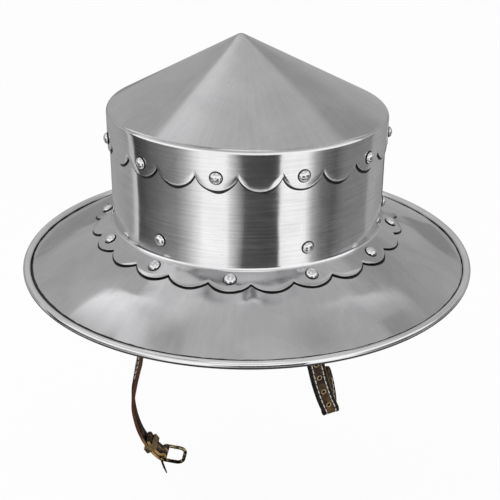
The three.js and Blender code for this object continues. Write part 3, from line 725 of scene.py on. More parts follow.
# The crease row and the row beside the flange's hem take the dark finish as painted shade, and the roll's
# edge row is its raw cut edge.
brim_mesh = round_sheet("brim_sheet", brim_outline, BRIM_COLUMNS, [brim_steel, cut_edge_and_shade_steel, rivet_steel],
                        {**rubbed_rows, roll_edge: 1, crease_row: 1, hem_row: 1})
place_piece("brim_sheet", brim_mesh, "hat", ["brim"])


def wire_outline(angle):
    return arc(ROLL_CENTRE, ROLL_HEIGHT, WIRE_RADIUS, 0, 2 * math.pi, WIRE_SIDES)[:-1]


wire_mesh = round_sheet("rolled_edge_wire", wire_outline, BRIM_COLUMNS // 3, [plain_steel])
place_piece("rolled_edge_wire", wire_mesh, "hat", ["edge_wire"])
print("brim faces:", len(brim_mesh.polygons))

# %% [markdown]
# ## The rivets
# Each rivet has a domed head outside, a shank through the sheets and a burred end inside. They are hammered
# over by hand, so the domes are slightly flattened and each one sits a little differently. Under each head a
# dark collar fills the gap and lies on the sheet, and the lowest ring of the dome is dark too: painted shade
# at the foot of the head, together with some oxide and old polish. One mesh serves every rivet of a grip
# length, and each rivet gets its own turn round its shank.

# %% Rivets
SHANK_RADIUS = 0.002
HEAD_RADIUS = 0.0043
HEAD_HEIGHT = 0.0029
BURR_RADIUS = 0.0031
BURR_HEIGHT = 0.001
RIVET_SIDES = 40
DOME_STEPS = 9
BURR_STEPS = 4
COLLAR_WIDTH = 0.0007
COLLAR_TOP = -0.8 * SEAM
COLLAR_FOOT = -0.9 * SEAM
HEAD_DENTS = 0.03
DENT_DRIFT = 300
CROWN_RIVETS = SKIRT_LOBES // 2
FOOT_RIVETS = FLANGE_LOBES // 2
LINER_RIVETS = 6
CROWN_RIVET_HEIGHT = SKIRT_HEM + 0.0095
FOOT_RIVET_RADIUS = BAND_RADIUS + 0.0077
LINER_RIVET_HEIGHT = BRIM_LINE + 0.0136
FOOT_RIVET_LIFT = FLANGE_LIFT + SHEET + SEAM
LEVEL_OUT = (1, 0)
SQUARE_TO_BRIM = (math.sin(BRIM_SLOPE), math.cos(BRIM_SLOPE))
rivet_turns = random.Random(7)


def spun_piece(name, outline, finishes, dents=0.0, dark_rows=()):
    """A round piece about its own Z axis, from (radius, height) points, with a few soft dents."""
    points = []
    for k in range(RIVET_SIDES):
        turn = 2 * math.pi * k / RIVET_SIDES
        for radius, height in outline:
            dent = dents * math.sin(2 * turn + 1.0 + DENT_DRIFT * height) * (height > 0)
            points.append(Vector((radius * math.cos(turn), radius * math.sin(turn), height * (1 - dent))))
    faces = ring_faces(RIVET_SIDES, len(outline), True)
    finish_of = [1 if i % len(outline) in dark_rows else 0 for i in range(len(faces))]
    return forged_mesh(name, points, faces, finishes, finish_of)


def rivet_mesh(name, grip):
    """A rivet whose head rests at height zero and whose burr starts at the end of its grip."""
    quarter = spread(0, math.pi / 2, DOME_STEPS)
    dome = [(HEAD_RADIUS * math.sin(t), HEAD_HEIGHT * math.cos(t)) for t in quarter]
    collar_edge = HEAD_RADIUS + COLLAR_WIDTH
    collar = [(HEAD_RADIUS, -SEAM / 3), (collar_edge, COLLAR_TOP), (collar_edge, COLLAR_FOOT)]
    shank = [(SHANK_RADIUS, COLLAR_FOOT), (SHANK_RADIUS, -grip)]
    burr = [(BURR_RADIUS * math.cos(t), -grip - BURR_HEIGHT * math.sin(t))
            for t in spread(0, math.pi / 2, BURR_STEPS)]
    outline = dome + collar + shank + burr[:-1] + [(0, burr[-1][1])]
    # The lowest ring of the dome and the collar take the dark finish as painted shade at the foot of the
    # head.
    dark_rows = range(DOME_STEPS - 1, DOME_STEPS + 4)
    return spun_piece(name, outline, [rivet_steel, cut_edge_and_shade_steel], HEAD_DENTS, dark_rows)


def stand_piece(name, mesh, node, place, outward, angle):
    """Stands a piece on the hat, its Z axis outwards. The place and outward are a radius and a height."""
    piece = place_piece(name, mesh, "hat", [node])
    stand = at_azimuth(*outward, angle).to_track_quat("Z", "Y").to_matrix().to_4x4()
    own_turn = Matrix.Rotation(rivet_turns.uniform(0, 6), 4, "Z")
    piece.matrix_world = Matrix.Translation(at_azimuth(*place, angle)) @ stand @ own_turn


def rivet_row(name, mesh, count, first, place, outward):
    """A row of evenly spaced rivets round the hat."""
    for i in range(count):
        stand_piece(f"{name}_dome_{i + 1:02d}", mesh, f"{name}_rivet_{i + 1:02d}",
                    place, outward, first + 2 * math.pi * i / count)


crown_rivet = rivet_mesh("crown_rivet_dome", SKIRT_RADIUS + SEAM - BAND_INSIDE + SEAM)
rivet_row("crown", crown_rivet, CROWN_RIVETS, FIRST_SKIRT_LOBE,
          (SKIRT_RADIUS + SEAM, CROWN_RIVET_HEIGHT), LEVEL_OUT)
foot_rivet = rivet_mesh("brim_rivet_dome", FOOT_RIVET_LIFT + ROLL_OUTER + SEAM)
rivet_row("brim", foot_rivet, FOOT_RIVETS, 0,
          (FOOT_RIVET_RADIUS, brim_height(FOOT_RIVET_RADIUS, FOOT_RIVET_LIFT)), SQUARE_TO_BRIM)
print("rivets through the hems:", CROWN_RIVETS + FOOT_RIVETS)

# %% [markdown]
# ## Washers
# Inside the band, each rivet that holds the liner passes through a steel washer. The two rivets that carry
# the chin strap have a second washer over the strap. A washer is punched from sheet, so its edges are
# slightly rounded.

# %% Washers and the rivets of the liner
WASHER_RADIUS = 0.0055
WASHER_THICKNESS = 0.001
LEATHER = 0.002
STRAP_THICKNESS = 0.003
CAD_LINER_SIDES = 48
LINER_OUTSIDE = BAND_INSIDE - SEAM
LINER_INSIDE = LINER_OUTSIDE - LEATHER
LINER_FLAT = math.sqrt((LINER_INSIDE * math.cos(math.pi / CAD_LINER_SIDES)) ** 2 - WASHER_RADIUS ** 2)
WASHER_FACE = LINER_FLAT - SEAM
STRAP_OUTSIDE = WASHER_FACE - WASHER_THICKNESS - SEAM
STRAP_MIDDLE = STRAP_OUTSIDE - STRAP_THICKNESS / 2
STRAP_INSIDE = STRAP_OUTSIDE - STRAP_THICKNESS


def washer_mesh():
    """A flat ring whose outer face lies at height zero."""
    bore = SHANK_RADIUS + SEAM
    corner = WASHER_THICKNESS / 4
    middle = (bore + WASHER_RADIUS) / 2
    outline = arc(WASHER_RADIUS - corner, -corner, corner, 0, math.pi / 2, 3) + [(middle, 0)]
    outline += arc(bore + corner, -corner, corner, math.pi / 2, math.pi, 3)
    outline += [(r, -WASHER_THICKNESS - z) for r, z in reversed(outline)]
    return spun_piece("punched_washer", outline, [plain_steel])


washer = washer_mesh()
washer_back = WASHER_THICKNESS + SEAM
liner_rivet = rivet_mesh("liner_rivet_dome", BAND_RADIUS + SEAM - (WASHER_FACE - washer_back))
strap_rivet = rivet_mesh("strap_rivet_dome", BAND_RADIUS + SEAM - (STRAP_INSIDE - SEAM - washer_back))
strap_sides = {1: "tail", LINER_RIVETS - 1: "buckle"}
for i in range(LINER_RIVETS):
    angle = 2 * math.pi * i / LINER_RIVETS
    number = f"{i + 1:02d}"
    shape = strap_rivet if i in strap_sides else liner_rivet
    stand_piece(f"band_dome_{number}", shape, f"liner_rivet_{number}",
                (BAND_RADIUS + SEAM, LINER_RIVET_HEIGHT), LEVEL_OUT, angle)
    stand_piece(f"band_washer_{number}", washer, f"liner_washer_{number}",
                (WASHER_FACE, LINER_RIVET_HEIGHT), LEVEL_OUT, angle)
    if i in strap_sides:
        side = strap_sides[i]
        stand_piece(f"{side}_side_washer", washer, f"{side}_strap_washer",
                    (STRAP_INSIDE - SEAM, LINER_RIVET_HEIGHT), LEVEL_OUT, angle)
print("liner rivets:", LINER_RIVETS, "washers:", LINER_RIVETS + len(strap_sides))

# %% [markdown]
# ## Leather
# The liner is vegetable-tanned leather with its rough side in: a warm tan, cloudy, with short fibres. The
# grain of leather is a net of tiny cells, which a Voronoi pattern gives, and the pores and wrinkles come from
# noise.

# %% Liner leather
LINER_DARK = (0.24, 0.125, 0.062)
LINER_LIGHT = (0.44, 0.265, 0.145)
LINER_FIBRE = (0.56, 0.40, 0.26)


def liner_leather_finish():
    finish, shader = new_finish("tan_liner_leather", Specular_IOR_Level=0.35, Sheen_Weight=0.25,
                                Sheen_Roughness=0.6)
    place = own_place(shader)
    clouds = noise(place, 18.0, 5.0, 0.6, 0.4)
    fibres = noise(place, 900.0, 3.0, 0.7, 1.2)
    tan = stained(LINER_DARK, clouds, 0.35, 0.65, LINER_LIGHT)
    worn = stained(tan, fibres, 0.55, 0.75, LINER_FIBRE, 0.45)
    dress(shader, worn, [(clouds, 0.0006), (cell_net(place, 1100.0), 0.00012), (fibres, 0.00018)],
          remap(fibres, 0.3, 0.7, 0.62, 0.85))
    return finish


def thread_finish(name, light, dark, twist):
    """Waxed thread or cord: fine plies wound along it, darker between the plies as painted shade, and
    slightly soiled.
    """
    finish, shader = new_finish(name, Roughness=0.7, Sheen_Weight=0.3)
    place = own_place(shader)
    wave = add_node(shader, "ShaderNodeTexWave", Vector=place, Scale=twist, Distortion=3.0, Detail=2.0,
                    bands_direction="DIAGONAL")
    plies = wave.outputs["Fac"]
    soil = noise(place, 160.0, 4.0, 0.6)
    # Darker between the plies: painted shade in the grooves.
    ply_groove_shade = remap(plies, 0.0, 0.35, 0.6, 0.0)
    soiled = stained(light, soil, 0.4, 0.65, dark)
    shaded = blend_colours(ply_groove_shade, soiled, tuple(v * 0.6 for v in dark))
    dress(shader, shaded, [(plies, 0.00008), (soil, 0.00006)])
    return finish


liner_leather = liner_leather_finish()
waxed_thread = thread_finish("waxed_white_thread", (0.90, 0.88, 0.83), (0.74, 0.70, 0.62), 900.0)
lace_thread = thread_finish("twisted_lace_cord", (0.62, 0.54, 0.41), (0.40, 0.33, 0.23), 600.0)
print("leather and thread:", liner_leather.name, waxed_thread.name, lace_thread.name)

# %% [markdown]
# ## The liner
# The hat doesn't rest on the head with its steel. A leather band is held by the six low rivets, and six
# petals are sewn to its top edge. They curve inwards and end in a hem round a lace, which draws them
# together over the head. Each petal is a sheet whose thickness is rounded off at its edges and which puckers
# towards the gather, so the outline is offset from a middle line by a half thickness that changes.

# %% Liner band
LINER_FOOT = LINER_RIVET_HEIGHT - 0.0085
PETAL_ROOT = LINER_RIVET_HEIGHT + 0.0135
PETAL_RISE = 0.084
GATHER_RADIUS = 0.026
LACE_RADIUS = 0.0012
GATHER_TURN = math.acos(GATHER_RADIUS / LINER_OUTSIDE)
LACE_HEIGHT = PETAL_ROOT + PETAL_RISE * math.sin(GATHER_TURN) - LEATHER - SEAM - LACE_RADIUS
LEATHER_ROUND = 0.0007
LINER_COLUMNS = 240
LINER_WAVES = [(0.00025, 9, 0), (0.0002, 23, 1)]


def liner_band_outline(angle):
    outer = LINER_OUTSIDE - LEATHER_ROUND
    inner = LINER_INSIDE + LEATHER_ROUND
    top = PETAL_ROOT - LEATHER_ROUND
    foot = LINER_FOOT + abs(sum_of_sines(angle, LINER_WAVES)) + LEATHER_ROUND
    return round_corners([(outer, top), (inner, top), (inner, foot), (outer, foot)], LEATHER_ROUND, 4)


liner_band_mesh = round_sheet("liner_head_band", liner_band_outline, LINER_COLUMNS, [liner_leather])
place_piece("liner_head_band", liner_band_mesh, "hat", ["liner_band"])
print("liner band from", round(LINER_FOOT, 4), "to", round(PETAL_ROOT, 4))

# %% [markdown]
# ## The petals
# A petal is drawn from columns of points on both of its faces. Slits that widen upwards part it from the next
# one. A small sine wave, which grows towards the gather, gives the puckers.

# %% Liner petals
SLIT_WIDTH = 0.003
SLIT_SPREAD = 0.009
SLIT_OVERRUN = 0.005
PETAL_COLUMNS = 44
PETAL_STEPS = 26
HEM_STEPS = 14
PUCKERS = 54
PUCKER_DEPTH = 0.00055
PUCKER_START = 0.45
PUCKER_IN_HEM = 0.3
HEM_SHARE = 0.4
SLACK = 0.0006
THINNEST = 0.12


def petal_face(share):
    """A place on the outside of a petal and the direction out of it, at a share of the way up."""
    turn = GATHER_TURN * share
    out = Vector((math.cos(turn) / LINER_OUTSIDE, math.sin(turn) / PETAL_RISE)).normalized()
    return Vector((LINER_OUTSIDE * math.cos(turn), PETAL_ROOT + PETAL_RISE * math.sin(turn))), out


def petal_section():
    """Middle line of a petal and its directions across the leather, from the root to the end of the hem."""
    places = []
    for share in spread(SEAM / PETAL_RISE, 1, PETAL_STEPS):
        outside, out = petal_face(share)
        places.append((outside - out * (LEATHER / 2), out, share))
    hem = LACE_RADIUS + SEAM + LEATHER / 2
    for turn in spread(math.pi / 2, math.pi * 11 / 6, HEM_STEPS)[1:]:
        out = Vector((math.cos(turn), math.sin(turn)))
        places.append((Vector((GATHER_RADIUS, LACE_HEIGHT)) + out * hem, out, 1))
    return places


PETAL_SECTION = petal_section()


def petal_half_turn(radius, height):
    """Half the angle that a petal spans, between two slits that widen upwards."""
    gather = LACE_HEIGHT + LEATHER
    share = (height - PETAL_ROOT + SLIT_OVERRUN) / (gather - PETAL_ROOT + 2 * SLIT_OVERRUN)
    slit = SLIT_WIDTH + (SLIT_SPREAD - SLIT_WIDTH) * share
    return math.pi / LINER_RIVETS - math.asin(slit / 2 / radius)


def petal_mesh(index):
    """A petal from columns of points on both faces, thinned at its edges and puckered at the gather."""
    middle = 2 * math.pi * index / LINER_RIVETS
    rows = len(PETAL_SECTION)
    points = []
    for column in range(PETAL_COLUMNS + 1):
        across = 2 * column / PETAL_COLUMNS - 1
        faces_out = []
        faces_in = []
        for row, (place, out, share) in enumerate(PETAL_SECTION):
            half = petal_half_turn(place.x, place.y)
            turn = middle + half * across
            from_edge = min((1 - abs(across)) * half * place.x, row * LEATHER, (rows - 1 - row) * LEATHER / 3)
            rounding = min(from_edge / (LEATHER / 2), 1)
            thick = LEATHER / 2 * max(math.sqrt(1 - (1 - rounding) ** 2), THINNEST)
            gathered = clamped_share(share, PUCKER_START, 1) * (1 if share < 1 else PUCKER_IN_HEM)
            pucker = PUCKER_DEPTH * gathered * (math.sin(PUCKERS * turn + index) - 1)
            slack = -SLACK * math.sin(math.pi * share) * (1 + math.sin(5 * turn + 2 * index + 4 * share))
            shift = pucker + slack if share < 1 else pucker * HEM_SHARE
            faces_out.append(at_azimuth(*(place + out * (shift + thick)), turn))
            faces_in.append(at_azimuth(*(place + out * (shift - thick)), turn))
        points += faces_out + faces_in[::-1]
    faces = ring_faces(PETAL_COLUMNS + 1, 2 * rows, False)
    return forged_mesh(f"liner_petal_leather_{index + 1:02d}", points, faces, [liner_leather])


for i in range(LINER_RIVETS):
    mesh = petal_mesh(i)
    place_piece(mesh.name, mesh, "hat", [f"liner_petal_{i + 1:02d}"])
print("petals:", LINER_RIVETS, "lace height:", round(LACE_HEIGHT, 4))

# %% [markdown]
# ## Stitches of the liner
# Waxed thread joins the petals to the band, across the seam between them, and holds the hem round the lace.
# A stitch is a short piece of thread that comes out of one hole and goes into the next. It is a tube whose
# ends dive into the leather, and one helper makes it between any two places.

# %% Stitches
THREAD_RADIUS = 0.00045
THREAD_SIDES = 8
THREAD_STEPS = 6
THREAD_RISE = 1.5
THREAD_SUNK = 0.8
THREAD_ENDS = 0.75
BAND_STITCHES = 132
BAND_STITCH_LEAN = 0.006
BELOW_ROOT = 0.0022
ABOVE_ROOT = 0.0026
PETAL_STEP = 0.0002
UNDER_HEM = 0.0008
HEM_STITCHES = 4
HEM_STITCH_PITCH = 0.085
HEM_STITCH_HALF = 0.03
HEM_STITCH_SHARE = 0.9


def stitch(start, end, outward):
    """A thread that rises out of the leather at start and dives back in at end."""
    path = []
    for share in spread(0, 1, THREAD_STEPS):
        rise = THREAD_RADIUS * (THREAD_RISE * math.sin(math.pi * share) - THREAD_SUNK)
        path.append(start.lerp(end, share) + outward * rise)

    def thickness(share):
        return THREAD_RADIUS * (THREAD_ENDS + (1 - THREAD_ENDS) * math.sin(math.pi * share))

    across = outward.cross(end - start).normalized()
    return tube_parts(path, thickness, THREAD_SIDES, lambda share: across)


def liner_stitches():
    """Slanting stitches across the seam of band and petals, and level ones on both faces of each hem."""
    parts = []
    for k in range(BAND_STITCHES):
        turn = 2 * math.pi * (k + 0.5) / BAND_STITCHES
        low = at_azimuth(LINER_INSIDE, PETAL_ROOT - BELOW_ROOT, turn - BAND_STITCH_LEAN)
        high = at_azimuth(LINER_INSIDE - PETAL_STEP, PETAL_ROOT + ABOVE_ROOT, turn + BAND_STITCH_LEAN)
        parts.append(stitch(low, high, -at_azimuth(1, 0, turn)))
    place, out = petal_face(HEM_STITCH_SHARE)
    for index in range(LINER_RIVETS):
        for step in range(-HEM_STITCHES, HEM_STITCHES + 1):
            turn = 2 * math.pi * index / LINER_RIVETS + step * HEM_STITCH_PITCH
            for depth, way in ((0, 1), (LEATHER + UNDER_HEM, -1)):
                spot = place - out * depth
                ends = [at_azimuth(*spot, turn + side * HEM_STITCH_HALF) for side in (-1, 1)]
                parts.append(stitch(*ends, at_azimuth(*out, turn) * way))
    return parts


place_parts("liner_stitches", liner_stitches(), waxed_thread, "hat")

# %% [markdown]
# ## The lace
# The lace is a cord of three strands that runs through the petals' hems and is tied at the back. Strands
# wind round a middle line like a helix, so each one is a tube along such a helix. The knot is a tight
# overhand knot, drawn with the three-lobed curve of a trefoil, and its two ends are frayed.

# %% Lace
STRAND_SHARE = 0.5
STRAND_APART = 1.08
STRAND_SIDES = 7
LAY_LENGTH = 0.0075
KNOT_TURN = math.radians(150)
LACE_END = 0.016
LACE_STEPS = 420
KNOT_STEPS = 72
KNOT_SIDES = 10
KNOT_SIZE = 0.00062
KNOT_DEPTH = 0.0009
KNOT_CORD = LACE_RADIUS * 0.85
STRAIGHT_END = LACE_END * 0.92
END_SWAY = 0.0006
END_STEPS = 40
HAIRS = 14
HAIR_SPREAD = 0.35
HAIR_ROOTS = 0.0005
HAIR_LENGTH = 0.0013
HAIR_RADIUS = 0.00012
HAIR_SIDES = 5
UP = Vector((0, 0, 1))
fray = random.Random(11)


def cord_parts(path, across, strand_radius, closed=False):
    """Three strands wound round a path. A closed path gets a whole number of turns."""
    length = sum((path[i] - path[i - 1]).length for i in range(0 if closed else 1, len(path)))
    turns = round(length / LAY_LENGTH) if closed else length / LAY_LENGTH
    frames = frames_along(path, across, closed)
    helix = strand_radius * STRAND_APART
    parts = []
    for strand in range(3):
        wound = []
        for i, (side, up) in enumerate(frames):
            share = i / len(path) if closed else i / (len(path) - 1)
            turn = 2 * math.pi * (turns * share + strand / 3)
            wound.append(path[i] + side * (helix * math.cos(turn)) + up * (helix * math.sin(turn)))
        parts.append(tube_parts(wound, lambda share: strand_radius, STRAND_SIDES, across, closed))
    return parts


def lace_parts():
    """The ring inside the hems, the knot and two hanging ends, each with its loose hairs."""
    ring = [at_azimuth(GATHER_RADIUS, LACE_HEIGHT, 2 * math.pi * k / LACE_STEPS) for k in range(LACE_STEPS)]
    parts = cord_parts(ring, lambda share: UP, LACE_RADIUS * STRAND_SHARE, True)
    knot_place = at_azimuth(GATHER_RADIUS, LACE_HEIGHT, KNOT_TURN)
    sideways = Vector((math.cos(KNOT_TURN), math.sin(KNOT_TURN), 0))
    outward = at_azimuth(1, 0, KNOT_TURN)
    knot = []
    for k in range(KNOT_STEPS):
        t = 2 * math.pi * k / KNOT_STEPS
        flat = (math.sin(t) + 2 * math.sin(2 * t)) * KNOT_SIZE
        rise = (math.cos(t) - 2 * math.cos(2 * t)) * KNOT_SIZE
        knot.append(knot_place + sideways * flat + outward * rise - UP * (math.sin(3 * t) * KNOT_DEPTH))
    parts.append(tube_parts(knot, lambda share: KNOT_CORD, KNOT_SIDES, lambda share: UP, True))

    def astray(place, reach):
        """A place or direction that is moved a little sideways and outwards by chance."""
        return place + sideways * fray.uniform(-reach, reach) + outward * fray.uniform(-reach, reach)

    for way in (-1, 1):
        lean = sideways * (way * math.sin(BRIM_SLOPE)) - UP * math.cos(BRIM_SLOPE)
        hang = [knot_place + lean * (STRAIGHT_END * s) + outward * (END_SWAY * math.sin(3 * s + way))
                for s in spread(0, 1, END_STEPS)]
        parts += cord_parts(hang, lambda share: outward, LACE_RADIUS * STRAND_SHARE)
        for _ in range(HAIRS):
            away = astray(lean, HAIR_SPREAD).normalized()
            root = astray(hang[-1], HAIR_ROOTS)
            hair = [root + away * (HAIR_LENGTH * s) for s in spread(0, 1, 3)]
            parts.append(tube_parts(hair, lambda share: HAIR_RADIUS * (1.2 - share), HAIR_SIDES,
                                    lambda share: outward))
    return parts


place_parts("twisted_lace", lace_parts(), lace_thread, "hat", ["liner_lace"])

# %% [markdown]
# ## Strap leather
# The chin strap is two layers of brown leather, stitched near both edges. Its margins are stained nearly
# black, its middle is mottled brown and olive where it has been rubbed, and its cut edges are bare: red-brown
# where they are burnished and tan where they aren't. Each strap keeps its own run, the place across and along
# it, as a UV layer, so the finish can follow the strap through every bend.

# %% Strap finishes
STRAP_WIDTH = 0.014
STITCH_FROM_MIDDLE = 0.0039
MARGIN = 0.0031
STRAP_BROWN = (0.030, 0.008, 0.006)
STRAP_OLIVE = (0.17, 0.095, 0.022)
STRAP_SPECK = (0.016, 0.010, 0.008)
MARGIN_STAIN = (0.012, 0.008, 0.006)
EDGE_TAN = (0.52, 0.33, 0.12)
EDGE_STAIN = (0.08, 0.025, 0.012)


def strap_leather_finish(name, edge_colour, tan_from, tan_to, one_side):
    """Stitched strap leather, whose cut edge turns tan between two places along it, at one side or both."""
    finish, shader = new_finish(name, Specular_IOR_Level=0.45)
    run = add_node(shader, "ShaderNodeUVMap", uv_map="strap_run").outputs["UV"]
    parts = add_node(shader, "ShaderNodeSeparateXYZ", Vector=run).outputs
    across = calculate("ABSOLUTE", parts["X"])
    place = own_place(shader)
    clouds = noise(place, 95.0, 4.0, 0.65, 0.8)
    specks = noise(place, 420.0, 3.0, 0.7)
    rubbed = stained(STRAP_BROWN, clouds, 0.40, 0.64, STRAP_OLIVE)
    rubbed = stained(rubbed, specks, 0.50, 0.66, STRAP_SPECK, 0.9)
    ragged = calculate("ADD", across, remap(specks, 0.3, 0.7, -0.0005, 0.0005))
    face = stained(rubbed, ragged, MARGIN - 0.0003, MARGIN + 0.0003, MARGIN_STAIN)
    turning = remap(parts["Y"], tan_from, tan_to)
    if one_side:
        turning = calculate("MULTIPLY", turning, calculate("GREATER_THAN", parts["X"], 0.0))
    bare = stained(blend_colours(turning, edge_colour, EDGE_TAN), clouds, 0.45, 0.7, EDGE_STAIN, 0.7)
    colour = stained(face, across, STRAP_WIDTH / 2 - 0.0005, STRAP_WIDTH / 2 - 0.0003, bare)
    dress(shader, colour, [(clouds, 0.0004), (cell_net(place, 1500.0), 0.00012), (specks, 0.0001)],
          remap(clouds, 0.3, 0.7, 0.38, 0.6))
    return finish


def bare_leather_finish(name, dark, light):
    """Leather without its grain: loose fibres, all one tan or, inside a hole, painted dark as the shade
    there.
    """
    finish, shader = new_finish(name, Roughness=0.8)
    fibres = noise(own_place(shader), 1200.0, 3.0, 0.7)
    dress(shader, stained(dark, fibres, 0.35, 0.65, light), [(fibres, 0.0001)])
    return finish


buckle_strap_leather = strap_leather_finish("buckle_strap_leather", (0.13, 0.038, 0.014), 0.245, 0.262, False)
tail_strap_leather = strap_leather_finish("tail_strap_leather", (0.014, 0.009, 0.007), 0.10, 0.12, True)
bare_leather = bare_leather_finish("bare_cut_leather", (0.42, 0.29, 0.13), (0.74, 0.60, 0.36))
# The dark leather of the hole walls is painted shade.
shaded_leather = bare_leather_finish("shaded_hole_leather", (0.010, 0.006, 0.004), (0.05, 0.028, 0.012))
print("strap finishes:", buckle_strap_leather.name, tail_strap_leather.name, bare_leather.name)

# %% [markdown]
# ## The shape of a hanging strap
# Each strap half hangs in the shape it has taken from use. Its middle line is a smooth curve through a few
# places, the same places that the CAD solid uses. The section is a flat strap of two layers: the edges are
# rounded, with a fine groove where the layers meet, and the faces dip where the stitches pull them in.

# %% Strap helpers
ROUTE_STEP = 0.0016
CURVE_STEPS = 24
GROOVE_HALF = 0.001
GROOVE_DEPTH = 0.00022
LAYER_GAP = 0.0003
ROUNDED_EDGE = [(0.0006, 0), (0.00015, 0.00035), (0, 0.0008)]
PUNCH_SIDES = 24
NARROWEST = 0.06
STITCH_LENGTH = 0.0040
STITCH_PITCH = 0.0050
SQUARE_ACROSS = Vector((1, 0, 0))
STRAP_TURN = 2 * math.pi / LINER_RIVETS


def smooth_route(places, step):
    """A centripetal curve through the places, as points an even step apart."""
    reached = [places[0] * 2 - places[1], *places, places[-1] * 2 - places[-2]]
    fine = []
    for p0, p1, p2, p3 in zip(reached, reached[1:], reached[2:], reached[3:]):
        t1 = (p1 - p0).length ** 0.5
        t2 = t1 + (p2 - p1).length ** 0.5
        t3 = t2 + (p3 - p2).length ** 0.5
        for share in spread(0, 1, CURVE_STEPS)[:-1]:
            t = t1 + (t2 - t1) * share
            a1 = p0.lerp(p1, t / t1)
            a2 = p1.lerp(p2, (t - t1) / (t2 - t1))
            a3 = p2.lerp(p3, (t - t2) / (t3 - t2))
            b1 = a1.lerp(a2, t / t2)
            b2 = a2.lerp(a3, (t - t1) / (t3 - t1))
            fine.append(b1.lerp(b2, (t - t1) / (t2 - t1)))
    return even_route([*fine, places[-1]], step)


def even_route(places, step):
    """The same route in steps of equal length."""
    total = route_length(places)
    count = max(round(total / step), 1)
    route = [places[0]]
    walked = 0.0
    for before, after in zip(places, places[1:]):
        length = (after - before).length
        while len(route) < count and walked + length >= total * len(route) / count:
            route.append(before.lerp(after, (total * len(route) / count - walked) / length))
        walked += length
    return [*route, places[-1]]


def route_length(places):
    return sum((after - before).length for before, after in zip(places, places[1:]))


def strap_section(width_share):
    """Half widths and heights of a two-layer strap, as a closed outline of (across, up)."""
    half = STRAP_WIDTH / 2 * width_share
    thick = STRAP_THICKNESS / 2
    groove = STITCH_FROM_MIDDLE * width_share
    line = GROOVE_HALF * width_share
    face = [(0, thick), (groove - line, thick), (groove, thick - GROOVE_DEPTH), (groove + line, thick)]
    side = [(half - inward, thick - down) for inward, down in ROUNDED_EDGE]
    side += [(half, LAYER_GAP), (half - LAYER_GAP, 0.0)]
    quarter = face + side
    right = quarter + [(x, -y) for x, y in reversed(quarter[:-1])]
    left = [(-x, y) for x, y in reversed(right[1:-1])]
    return right + left


def end_narrowing(place, length):
    """Width share of a strap near its rounded ends."""
    half = STRAP_WIDTH / 2
    from_end = min(place, length - place, half)
    return max(math.sqrt(max(1 - (1 - from_end / half) ** 2, 0)), NARROWEST)


def swept_strap(name, route, across, finishes):
    """A strap along a route, with its run in the UV layer."""
    length = route_length(route)
    frames = frames_along(route, across)
    points = []
    run = []
    walked = 0.0
    for i, (side, up) in enumerate(frames):
        if i:
            walked += (route[i] - route[i - 1]).length
        share = end_narrowing(walked, length)
        for u, v in strap_section(share):
            points.append(route[i] + side * u + up * v)
            run.append((u, walked))
    faces = ring_faces(len(route), len(points) // len(route), False)
    return forged_mesh(name, points, faces, finishes, run_of=run)


def cut_away(mesh, cutters):
    """Cuts closed meshes out of a mesh. The cut faces keep the cutter's finish."""
    strap, *helpers = [add_object("being_cut", shape) for shape in (mesh, *cutters)]
    for helper in helpers:
        cutting = strap.modifiers.new("cut", "BOOLEAN")
        cutting.operation = "DIFFERENCE"
        cutting.solver = "EXACT"
        cutting.material_mode = "TRANSFER"
        cutting.object = helper
    done = bpy.data.meshes.new_from_object(strap.evaluated_get(bpy.context.evaluated_depsgraph_get()))
    done.name = mesh.name
    done.set_sharp_from_angle(angle=SHARP_EDGE)
    for each in (strap, *helpers):
        bpy.data.objects.remove(each)
    return done


def punch(centre, direction, radius, depth, finish):
    """A closed round punch, for cutting a hole."""
    points = []
    stand = direction.to_track_quat("Z", "Y").to_matrix()
    for height in (-depth / 2, depth / 2):
        points += [centre + stand @ Vector((x, y, height)) for x, y in circle(radius, PUNCH_SIDES)]
    return forged_mesh("punch", points, ring_faces(2, PUNCH_SIDES, False), [finish])


def strap_stitches(route, across, first, last):
    """Saddle stitches on both faces of a strap, near both edges, between two places along it."""
    frames = frames_along(route, across)
    step = route_length(route) / (len(route) - 1)
    parts = []
    place = first
    while place + STITCH_LENGTH < last:
        ends = []
        for along in (place, place + STITCH_LENGTH):
            i = min(int(along / step), len(route) - 2)
            side, up = frames[i]
            ends.append((route[i].lerp(route[i + 1], along / step - i), side, up))
        for row in (-1, 1):
            for face in (1, -1):
                start, end = [spot + side * (row * STITCH_FROM_MIDDLE) + up * (face * STRAP_THICKNESS / 2)
                              for spot, side, up in ends]
                parts.append(stitch(start, end, ends[0][2] * face))
        place += STITCH_PITCH
    return parts


def rivet_punch():
    """Cuts the hole for the rivet near the top of a strap."""
    return punch(Vector((0, -STRAP_MIDDLE, LINER_RIVET_HEIGHT)), Vector((0, -1, 0)), SHANK_RADIUS + SEAM,
                 3 * STRAP_THICKNESS, bare_leather)


print("strap section points:", len(strap_section(1)))

# %% [markdown]
# ## The buckle strap
# This half hangs at the wearer's right. It falls from its rivet, swings in, and its end is turned back round
# the bar of the buckle. The strap is drawn as if it hung at the front and is then turned to its place. A slot
# at the fold lets the prong through.

